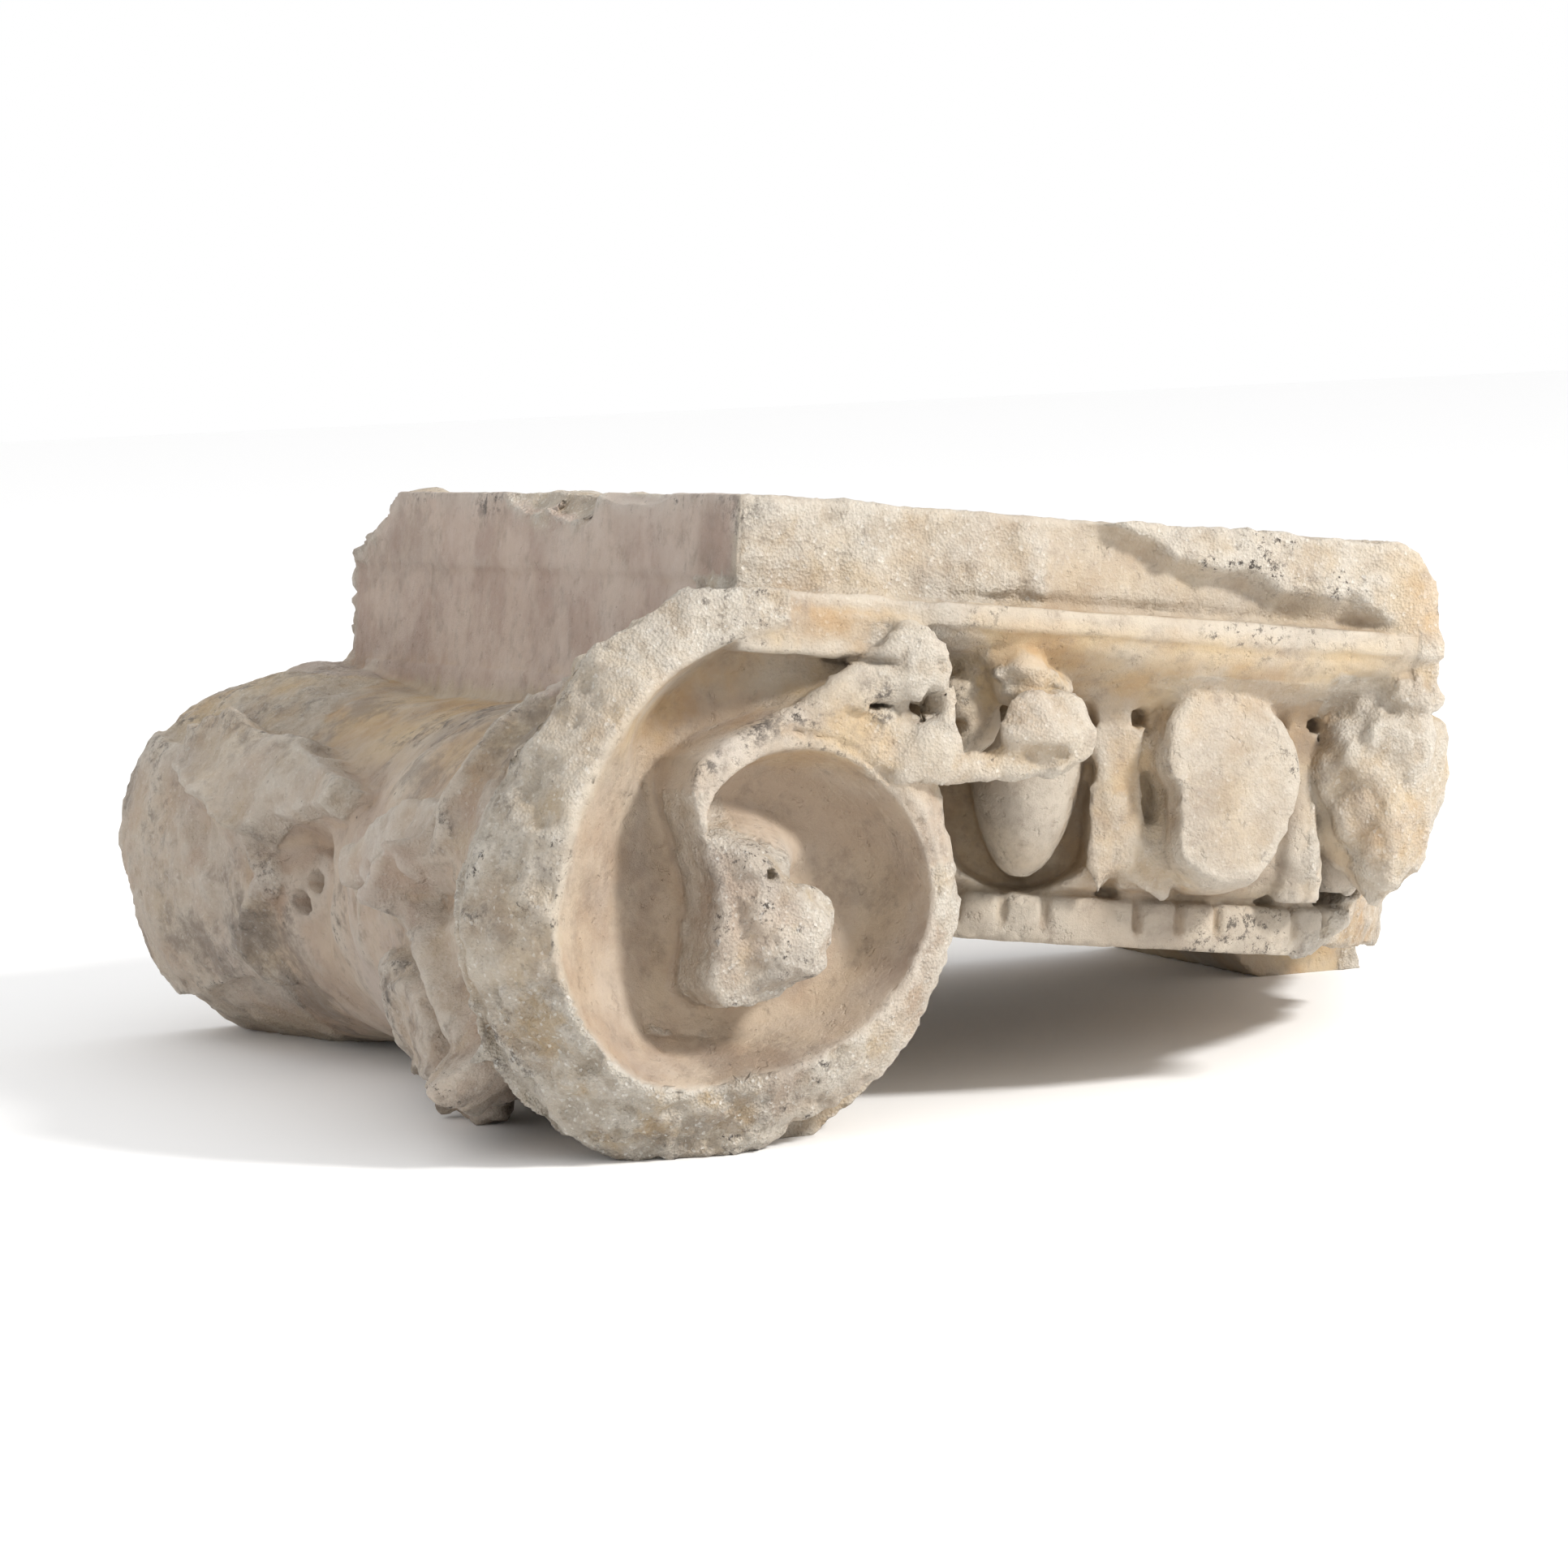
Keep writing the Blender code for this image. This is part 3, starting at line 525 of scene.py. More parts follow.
# Notches between bead, reel and reel, in degrees past the middle of a bead
BEAD_NOTCHES = (6.1, 11.7, 17.0)
EGG_HALF = 0.0275
EGG_MIDDLE = 0.086
EGG_LOW = 0.0270
EGG_HIGH = 0.1190


# Broken face of the second egg: its middle across and up, and its reach at angles round it
SHEAR_MIDDLE = (-0.004, 0.074)
SHEAR_SWING = (-171, -146, -124, -97, -75, -42, -14, 14, 25, 31, 82, 124, 141, 172)
SHEAR_REACH = (
    0.0300, 0.0345, 0.0475, 0.0500, 0.0495, 0.0385, 0.0360,
    0.0375, 0.0385, 0.0390, 0.0410, 0.0480, 0.0430, 0.0370,
)

# Ground that the eggs stand on: height and radius
GROUND_HEIGHTS = (0.0, 0.0195, 0.0215, 0.026, 0.034, 0.060, 0.100, 0.112, 0.122, 0.128, 0.133)
GROUND_RADII = (0.190, 0.1920, 0.1900, 0.202, 0.208, 0.212, 0.2145, 0.217, 0.223, 0.2285, 0.232)

# Hollow round an egg: its room beside the egg, more at the first egg's left and less at its dart, its
# depth, and the foot that the egg rises from
HOLLOW_ROOM = 0.0075
HOLLOW_ROOM_LEFT = 0.0240
HOLLOW_FLOOR = 0.026
HOLLOW_FLOOR_SECOND = 0.014
DART_HEIGHTS = (0.034, 0.045, 0.057, 0.070, 0.087)
DART_ROOM = (0.0180, 0.0110, 0.0055, 0.0035, 0.0015)
EGG_FOOT = 0.1960
EGG_SPREAD = 0.215
BEAD_TOP = 0.0205


def echinus_reach(degrees, height):
    """Radius of the echinus and of the bead-and-reel below it."""
    ground = np.interp(height, GROUND_HEIGHTS, GROUND_RADII)
    straight = (FILLET_SHADOW - FRONT) / np.cos(np.radians(np.clip(degrees, -44.0, 30.0)))
    flare = ramp(height, 0.100, 0.1335)
    ground = np.where(np.abs(degrees) < 50.0, ground + (straight - ground) * flare, ground)
    reach = ground.copy()
    for step in range(-1, 4):
        centre = EGG_FIRST + step * EGG_STEP
        side = np.radians(degrees - centre) * EGG_SPREAD
        tall = np.where(height > EGG_MIDDLE, EGG_HIGH - EGG_MIDDLE, EGG_MIDDLE - EGG_LOW)
        lean = np.abs((height - EGG_MIDDLE) / tall)
        narrow = EGG_HALF * (1.0 - 0.10 * np.where(height < EGG_MIDDLE, lean, 0.0))
        room = np.full_like(side, HOLLOW_ROOM)
        if step == 0:
            room = np.where(side < 0.0, HOLLOW_ROOM_LEFT, np.interp(height, DART_HEIGHTS, DART_ROOM))
        egg = (np.abs(side) / narrow) ** 2.0 + lean ** 2.1
        gap_tall = np.where(height > EGG_MIDDLE, tall + 0.003, tall + 0.006)
        gap_lean = np.abs((height - EGG_MIDDLE) / gap_tall)
        hollow = (np.abs(side) / (narrow + room)) ** 2.3 + gap_lean ** 2.4
        floor = HOLLOW_FLOOR_SECOND if step == 1 else HOLLOW_FLOOR
        deep = floor * ramp(1.0 - hollow, 0.0, 0.07) * (1.0 - ramp(height, 0.092, 0.108))
        reach = np.where(hollow < 1.0, np.minimum(reach, ground - deep), reach)
        front = EGG_FOOT + 0.0340 * np.sqrt(np.clip(1.0 - egg, 0.0, 1.0))
        if step == 2:
            hollow = hollow + 0.35
        if step == 1:
            across = 0.2250 * np.tan(np.radians(np.clip(degrees, -30.0, 30.0)))
            swing = np.degrees(np.arctan2(height - SHEAR_MIDDLE[1], across - SHEAR_MIDDLE[0]))
            outline = np.interp(swing, SHEAR_SWING, SHEAR_REACH, period=360.0)
            egg = np.hypot(across - SHEAR_MIDDLE[0], height - SHEAR_MIDDLE[1]) / outline
            hollow = np.minimum(hollow, egg)
            front = EGG_FOOT + 0.0600 * np.sqrt(np.clip(1.0 - egg ** 2, 0.0, 1.0))
            front = np.minimum(front, (0.2255 - 0.05 * (height - 0.08)) / np.cos(np.radians(degrees)))
        reach = np.where(egg < 1.0, np.maximum(reach, front), reach)
        gap_side = np.radians(degrees - centre - EGG_STEP / 2) * EGG_SPREAD
        prong = (height < 0.032) & (np.abs(gap_side) < 0.0075 * (0.032 - height) / 0.012)
        reach = np.where(prong & (height > BEAD_TOP), np.minimum(reach, ground - 0.010), reach)
    section = np.sqrt(np.clip(1.0 - ((height - 0.0122) / 0.0084) ** 2, 0.0, 1.0))
    reach = np.where(height < BEAD_TOP, np.maximum(reach, 0.1975 + 0.0022 * section), reach)
    bead_step = (degrees - EGG_FIRST - 9.0 + 360.0) % EGG_STEP
    for notch in BEAD_NOTCHES:
        side = np.abs(bead_step - notch)
        side = np.minimum(side, EGG_STEP - side) * math.radians(0.200) * 1000.0
        cut = ramp(1.0 - side / 2.6, 0.0, 0.8) * ramp(height, 0.004, 0.013) * (1.0 - ramp(height, 0.0200, 0.0225))
        reach = reach - 0.0065 * cut
    return reach


def carved_echinus():
    """Round of the echinus with eggs and darts, down to the bed."""

    def shape(around, up):
        degrees = -100.0 + 360.0 * around
        height = ECHINUS_TOP * up
        reach = echinus_reach(degrees, height)
        angle = np.radians(degrees)
        point = np.stack([reach * np.sin(angle), -reach * np.cos(angle), height], axis=1)
        return held_left_of_break(point, 0.0006)

    return close_ends(sheet("echinus", 1100, 133, shape))


# Lower edge of the worn face at the top right of the abacus: across, and height
CREST_PLACES = (-0.240, -0.090, -0.057, -0.044, -0.008, 0.006, 0.038, 0.060, 0.070)
CREST_HEIGHTS = (0.200, 0.184, 0.174, 0.165, 0.161, 0.155, 0.154, 0.145, 0.140)


def abacus_face(across, height):
    """Front of the abacus, fillet and band: how far back it stands at each place."""
    flat = np.stack([across, np.zeros_like(across), height], axis=1)
    crest = np.interp(across, CREST_PLACES, CREST_HEIGHTS) + 0.0012 * grain(flat, 0.012, 2, 3.3)
    worn = ramp(height - crest, -0.0055, 0.0035)
    recess = FRONT + 0.0110 + 0.0105 * (1.0 - ramp(across, -0.24, -0.185))
    recess = recess + 0.0035 * ramp(height, 0.150, 0.180) * (1.0 - ramp(across, -0.02, 0.04))
    proud = FRONT + 0.0015 + 0.004 * ramp(height, 0.164, 0.181)
    face = recess + (proud - recess) * worn
    face = face + 0.0022 * grain(flat, 0.030, 3, 1.7) * (1.0 - 0.5 * worn)
    groove = ramp(across, -0.160, -0.110) * (1.0 - ramp(across, 0.050, 0.062))
    near_fillet = 1.0 - ramp(height, FILLET_TOP + 0.0010, FILLET_TOP + 0.0075)
    face = face + (0.0035 + 0.0040 * (1.0 - ramp(across, -0.080, -0.020))) * groove * near_fillet
    left_mass = 1.0 - ramp(across, -0.175, -0.135)
    fillet = FRONT + 0.0005 + 0.0035 * left_mass
    face = np.where(height < FILLET_TOP, fillet, face)
    under = np.interp(height, (0.116, 0.1300, 0.1325), (FRONT + 0.0300, FRONT + 0.0200, FRONT + 0.0040))
    under = np.where(across < -0.16, FRONT + 0.004, under)
    return np.where(height < FILLET_BOTTOM, under, face)


def carved_front():
    """Broken front of the abacus over the fillet and the band."""

    def shape(along, up):
        across = LEFT + (FRONT_RIGHT - LEFT) * along
        height = FRONT_LOW + (ABACUS_TOP - FRONT_LOW) * up
        point = np.stack([across, abacus_face(across, height), height], axis=1)
        return held_left_of_break(point)

    return close_back(sheet("abacus_front", 420, 96, shape), (0.0, 0.050, 0.0))


# Broken rear corner over the bolster: height, and how far back the stone goes there
REAR_HEIGHTS = (0.100, 0.122, 0.132, 0.144, 0.156, 0.165, 0.174, 0.181)
REAR_PLACES = (REAR, REAR - 0.026, REAR - 0.024, REAR - 0.021, REAR - 0.044, REAR - 0.058, REAR - 0.070, REAR - 0.084)


def carved_block():
    """Body between the two fronts: abacus, side face, shoulder and back."""
    upper = slab("upper_block", (LEFT, -0.226, SIDE_LINE + 0.001), (0.33, REAR, ABACUS_TOP), 60)
    middle = slab("middle_block", (LEFT, -0.188, 0.112), (0.33, REAR, ABACUS_TOP - 0.003), 60)
    lower = slab("lower_block", (LEFT, -0.120, 0.011), (0.33, REAR, 0.160), 60)
    shoulder = slab("shoulder", (LEFT, -0.189, 0.060), (-0.142, -0.08, ABACUS_TOP - 0.006), 30)
    for item in (upper, middle, lower):
        points = points_of(item)
        limit = np.interp(points[:, 2], REAR_HEIGHTS, REAR_PLACES)
        limit = limit + (REAR - limit) * ramp(points[:, 0], LEFT + 0.05, LEFT + 0.20) * 0.7
        points[:, 1] = np.minimum(points[:, 1], limit)
        put_points(item, points)
    return [upper, middle, lower, shoulder]


# Broken lobes at the corner of the volute, the broken eggs and the darts. A limb has a name, spine, widths,
# flatness, roughness and seed. A lump has a name, middle, radii, turns in degrees, roughness and seed.
LOBES = (
    (
        limb, "lobe_stem",
        ((-0.226, -0.230, 0.084), (-0.206, -0.236, 0.093), (-0.186, -0.239, 0.105), (-0.170, -0.240, 0.114)),
        (0.004, 0.0070, 0.0100, 0.0120), 0.65, 0.14, 1,
    ),
    (lump, "lobe_top_end", (-0.1635, -0.2420, 0.1165), (0.0130, 0.0090, 0.0165), (0, -14, 0), 0.34, 21),
    (
        limb, "lobe_under",
        ((-0.208, -0.230, 0.081), (-0.190, -0.234, 0.087), (-0.172, -0.236, 0.089), (-0.160, -0.235, 0.084)),
        (0.004, 0.0065, 0.0065, 0.006), 0.7, 0.14, 22,
    ),
    (
        limb, "lobe_middle",
        ((-0.1540, -0.234, 0.070), (-0.1520, -0.239, 0.082), (-0.1480, -0.241, 0.096), (-0.1455, -0.241, 0.109)),
        (0.0150, 0.0120, 0.0058, 0.0006), 0.50, 0.16, 3,
    ),
    (
        limb, "lobe_low",
        (
            (-0.178, -0.224, 0.070), (-0.160, -0.235, 0.0745), (-0.138, -0.238, 0.0735),
            (-0.118, -0.240, 0.0760), (-0.108, -0.240, 0.0800),
        ),
        (0.005, 0.0070, 0.0062, 0.0070, 0.0080), 0.8, 0.12, 4,
    ),
    (lump, "lobe_end", (-0.1030, -0.2410, 0.0910), (0.0200, 0.0115, 0.0170), (0, 8, 0), 0.26, 5),
    (lump, "lobe_wall", (-0.1290, -0.2050, 0.0960), (0.0180, 0.0170, 0.0200), (0, -10, 0), 0.20, 23),
    (lump, "first_egg_top", (-0.1050, -0.2190, 0.1130), (0.0230, 0.0180, 0.0125), (0, 10, 0), 0.30, 28),
    (
        limb, "dart_right",
        (
            (-0.0585, -0.2040, 0.094), (-0.0520, -0.2045, 0.075), (-0.0445, -0.2045, 0.055),
            (-0.0330, -0.2030, 0.036), (-0.0200, -0.2010, 0.0225),
        ),
        (0.0060, 0.0085, 0.0115, 0.0105, 0.0020), 0.45, 0.16, 29,
    ),
    (
        limb, "dart_left",
        ((-0.0580, -0.2040, 0.070), (-0.0545, -0.2040, 0.050), (-0.0540, -0.2030, 0.036), (-0.0525, -0.2010, 0.0225)),
        (0.0050, 0.0065, 0.0060, 0.0015), 0.45, 0.16, 30,
    ),
    (lump, "third_egg", (0.0760, -0.2060, 0.0750), (0.0290, 0.0290, 0.0450), (0, -6, 0), 0.26, 24),
    (lump, "third_egg_side", (0.0700, -0.2180, 0.0930), (0.0170, 0.0180, 0.0250), (0, 16, 0), 0.34, 25),
    (lump, "right_cove", (0.0790, -0.2150, 0.1190), (0.0150, 0.0230, 0.0170), (0, 0, 0), 0.26, 27),
    (
        limb, "second_dart",
        ((0.0360, -0.206, 0.098), (0.0370, -0.209, 0.070), (0.0390, -0.209, 0.040), (0.0400, -0.206, 0.024)),
        (0.0050, 0.0065, 0.0090, 0.0110), 0.6, 0.22, 26,
    ),
)

# Boulders and tips of the leaves under the bolster
LEAVES = (
    (lump, "low_boulder", (-0.3130, -0.088, -0.034), (0.013, 0.038, 0.015), (0, 30, 8), 0.34, 7),
    (lump, "tip_leaf", (-0.2900, -0.104, -0.070), (0.016, 0.036, 0.012), (0, 42, 12), 0.34, 9),
    (lump, "tip_end", (-0.2780, -0.078, -0.082), (0.013, 0.018, 0.012), (0, 30, 0), 0.30, 10),
)


def carved(forms):
    """Each row's limb or lump."""
    return [shaped(name, *form) for shaped, name, *form in forms]


STUMP_RADIUS = 0.062
STUMP_FRONT = 0.120
STUMP_HEIGHT = 0.026


def carved_stump():
    """What is left of the rear right bolster, a guess that gives the third resting place."""
    clear_choice()
    bpy.ops.mesh.primitive_cylinder_add(
        vertices=96,
        radius=STUMP_RADIUS,
        depth=REAR - STUMP_FRONT,
        location=(STUMP_X, (REAR + STUMP_FRONT) / 2, STUMP_HEIGHT),
        rotation=(math.pi / 2, 0.0, 0.0),
    )
    item = bpy.context.object
    item.name = "stump"
    bpy.ops.object.transform_apply(location=True, rotation=True, scale=True)
    bpy.ops.object.mode_set(mode="EDIT")
    bpy.ops.mesh.select_all(action="SELECT")
    bpy.ops.mesh.subdivide(number_cuts=6)
    bpy.ops.object.mode_set(mode="OBJECT")
    put_points(item, held_left_of_break(points_of(item)))
    return item


# Holes of the carver's drill: mouth, way in, radius, depth
DRILLED = (
    ((-0.3120, 0.071, 0.0000), (1.0, 0.05, 0.0), 0.0048, 0.014),
    ((-0.3120, 0.081, -0.0100), (1.0, 0.05, 0.0), 0.0050, 0.014),
    ((-0.0425, -0.214, 0.0985), (0.15, 1.0, 0.0), 0.0046, 0.014),
    ((0.0400, -0.216, 0.1000), (0.25, 1.0, 0.0), 0.0036, 0.012),
    ((-0.1325, -0.222, 0.0900), (0.0, 1.0, 0.0), 0.0042, 0.012),
    ((-0.2240, -0.246, 0.0260), (0.0, 1.0, 0.0), 0.0028, 0.008),
)


def drilled(item):
    """Stone inside each rod pushed in to the hole's end."""
    points = points_of(item)
    for mouth, way, radius, depth in DRILLED:
        way = np.array(way) / np.linalg.norm(way)
        offset = points - np.array(mouth)
        along = offset @ way
        aside = np.linalg.norm(offset - along[:, None] * way, axis=1)
        share = ramp(radius - aside, -0.0002, 0.0012) * (np.abs(along) < 0.018)
        points += (share * depth)[:, None] * way
    put_points(item, points)
    return item


def fused(parts, voxel):
    """All forms made one body."""
    clear_choice()
    for item in parts:
        item.select_set(True)
    bpy.context.view_layer.objects.active = parts[0]
    bpy.ops.object.join()
    body = bpy.context.object
    body.name = "capital_marble"
    remesh = body.modifiers.new("fuse", "REMESH")
    remesh.mode = "VOXEL"
    remesh.voxel_size = voxel
    remesh.adaptivity = 0.0
    bpy.ops.object.modifier_apply(modifier=remesh.name)
    return body


# Broken places: low corner, high corner, and how broken
AWAY = 9.0
ROUGH_BOXES = (
    ((-0.182, -AWAY, 0.066), (-0.145, -0.2315, 0.131), 0.75),
    ((-0.145, -AWAY, 0.066), (-0.080, -0.2315, 0.117), 0.75),
    ((-0.046, -AWAY, 0.024), (0.040, -0.2190, 0.118), 0.45),
    ((-0.070, -0.2135, 0.021), (-0.016, -0.196, 0.094), 0.50),
    ((0.040, -AWAY, 0.020), (AWAY, -0.212, 0.122), 0.80),
    ((-AWAY, 0.190, -AWAY), (LEFT, AWAY, AWAY), 0.55),
    ((-AWAY, REAR - 0.030, 0.090), (AWAY, AWAY, AWAY), 0.45),
)


def region_rough(points):
    """How broken the stone is at each place, 0 on carved faces to 1 and more on fresh breaks."""
    x, y, z = points[:, 0], points[:, 1], points[:, 2]
    right = x - EYE.x
    up = z - EYE.z
    radius = np.hypot(right, up)
    turn = (np.arctan2(-right, up) / (2.0 * math.pi)) % 1.0
    edge = np.interp(turn, CHANNEL[:, 0], CHANNEL[:, 1])
    volute = (y < -0.185) & (radius < 0.15) & (x < -0.125) & (z < SIDE_LINE + 0.002)
    rough = np.where(volute, ramp(radius - edge, -0.001, 0.004), 0.0)
    rough = np.where(volute & (turn > 0.80) & (up > 0.02), rough * 0.35, rough)
    core = (np.hypot((right + 0.002) / 0.036, (up + 0.002) / 0.048) < 1.0) & (y < -0.226)
    rough = np.where(core & volute, 1.0, rough)
    cliff = volute & (right < -0.012) & (right > -0.040) & (np.abs(up + 0.002) < 0.050) & (y < -0.206)
    rough = np.where(cliff, np.maximum(rough, 0.7), rough)
    lowest = volute & (radius > edge) & (turn > 0.30) & (turn < 0.52)
    rough = np.where(lowest, 1.7, rough)
    for low, high, share in ROUGH_BOXES:
        rough = np.where(within(points, low, high), np.maximum(rough, share), rough)
    chip = np.hypot((y + 0.020) / 0.062, (z - 0.184) / 0.024) + 0.15 * grain(points, 0.014, 3, 5.5)
    rough = np.maximum(rough, np.where(x < LEFT + 0.030, 1.0 - ramp(chip, 0.75, 1.0), 0.0))
    front = (y < -0.20) & (z > FILLET_TOP + 0.0005) & (x > LEFT + 0.002)
    crest = np.interp(x, CREST_PLACES, CREST_HEIGHTS)
    cove = (x > -0.10) & (z < crest)
    rough = np.where(front, np.where(cove, 0.35, 0.9), rough)
    fade = ramp(0.010 * grain(points, 0.030, 3, 7.7) - y, 0.206, 0.236)
    rough = np.where(front & (z > ABACUS_TOP - 0.003), rough * fade, rough)
    far = x > break_place(y, z) - 0.012
    rough = np.maximum(rough, np.where(far, 0.9, 0.0))
    bolster = (x < -0.245) & (y > -0.185) & (np.hypot(x - BOLSTER.x, z - BOLSTER.z) > 0.0855)
    rough = np.where(bolster, np.maximum(rough, 0.55), rough)
    return rough


def weathered(body):
    """Breaks made rough, edges knocked, carved faces left with a faint grain."""
    points = points_of(body)
    normals = normals_of(body)
    rough = region_rough(points)
    rear = (normals[:, 1] > 0.25) & (points[:, 2] > 0.09) & (points[:, 0] < LEFT + 0.06)
    rough = np.where(rear, 1.6, rough)
    coarse = grain(points, 0.026, 4, 2.2)
    broken = 0.40 * (0.5 - facets(points, 0.0095, 3)) + 0.85 * (0.5 - facets(points, 0.0210, 9))
    fine = grain(points, 0.0055, 3, 9.1)
    move = rough * (0.0019 * coarse + 0.0026 * broken + 0.0009 * fine)
    move += (1.0 - rough) * (0.0004 * coarse + 0.00018 * fine)
    pits = grain(points, 0.009, 2, 4.4)
    move -= 0.0012 * rough * ramp(pits, 0.35, 0.8)
    points = points + normals * move[:, None]
    put_points(body, points)
    return body


# Chips out of the top edges and the rear corner: middle and radii
CHIPS = (
    ((LEFT - 0.004, 0.006, ABACUS_TOP + 0.004), (0.016, 0.036, 0.014)),
    ((LEFT - 0.004, -0.036, ABACUS_TOP + 0.004), (0.017, 0.034, 0.017)),
    ((LEFT - 0.006, -0.112, ABACUS_TOP + 0.005), (0.013, 0.060, 0.012)),
    ((LEFT - 0.010, 0.262, 0.110), (0.020, 0.030, 0.020)),
    ((LEFT - 0.006, -0.246, 0.176), (0.020, 0.016, 0.022)),
    ((-0.10, -0.246, ABACUS_TOP + 0.006), (0.060, 0.016, 0.012)),
)

# Turns of the scroll on the rear volute: outer radius and the width of a lane
SCROLL_RADIUS = 0.074
SCROLL_LANE = 0.022

# Hollows of the palmette: middle across and up, radii, depth
FRONT_HOLLOWS = (
    ((-0.1770, 0.0975), (0.0075, 0.0030), 0.0110),
    ((-0.1560, 0.1000), (0.0065, 0.0075), 0.0130),
    ((-0.1400, 0.0970), (0.0042, 0.0130), 0.0230),
    ((-0.1850, 0.1155), (0.0140, 0.0022), 0.0060),
    ((-0.1040, 0.0815), (0.0105, 0.0060), 0.0045),
)


def chipped(body):
    """Chips, hollows of the front, and the faint lines of the side face and the back."""
    points = points_of(body)
    for centre, radii in CHIPS:
        offset = (points - centre) / np.array(radii)
        length = np.linalg.norm(offset, axis=1)
        inside = length < 1.0
        points[inside] = np.array(centre) + offset[inside] / np.maximum(length[inside], 1e-3)[:, None] * np.array(radii)
    for centre, radii, deep in FRONT_HOLLOWS:
        gap = np.hypot((points[:, 0] - centre[0]) / radii[0], (points[:, 2] - centre[1]) / radii[1])
        gap = gap + 0.12 * grain(points, 0.010, 2, 6.6)
        points[:, 1] += deep * (1.0 - ramp(gap, 0.55, 1.0)) * (points[:, 1] < -0.205)
    behind = points[:, 1] > REAR - 0.030
    for height in (FILLET_BOTTOM, FILLET_TOP + 0.0015):
        points[:, 1] -= 0.0035 * behind * peak(points[:, 2], height, 0.0030)
    across = points[:, 0] - BOLSTER.x + BOLSTER_SWING
    above = points[:, 2] - BOLSTER.z
    away = np.hypot(across, above)
    turns = (np.arctan2(across, above) / (2.0 * math.pi)) % 1.0
    half = SCROLL_LANE / 2
    lane = (away - SCROLL_RADIUS + SCROLL_LANE * turns + half) % SCROLL_LANE - half
    scroll = behind * (away < 0.082) * (away > 0.012) * peak(lane, 0.0, 0.0055)
    points[:, 1] -= 0.0050 * ramp(scroll, 0.0, 0.8)
    side = (points[:, 0] < LEFT + 0.004) & (points[:, 2] > 0.10) & (points[:, 1] > -0.20)
    line = peak(points[:, 2], SIDE_LINE, 0.0022)
    below = 1.0 - ramp(points[:, 2], SIDE_LINE - 0.002, SIDE_LINE)
    points[:, 0] += np.where(side, 0.0016 * line + 0.0012 * below, 0.0)
    put_points(body, points)
    return body


def thinned(body):
    """Thinned to a number of triangles that the library keeps whole."""
    count = len(body.data.polygons) * 2
    if count > MOST_FACES:
        choose(body)
        thin = body.modifiers.new("thin", "DECIMATE")
        thin.ratio = MOST_FACES / count
        bpy.ops.object.modifier_apply(modifier=thin.name)
    return body


def settled(body):
    """Laid on the ground as the frame has it, and kept inside its box."""
    place = np.array(level_place())
    points = points_of(body)
    points = points @ place[:3, :3].T + place[:3, 3]
    low = np.array(CAD_BOX[0]) + BOX_GAP
    high = np.array(CAD_BOX[1]) - BOX_GAP
    low[2] = 0.0
    put_points(body, np.clip(points, low, high))
    return body


def mark_stone(body, levels):
    """Attributes that the marble's colour follows."""
    for name, values in levels.items():
        attribute = body.data.attributes.new(name, "FLOAT", "POINT")
        attribute.data.foreach_set("value", np.asarray(values, dtype=np.float32))


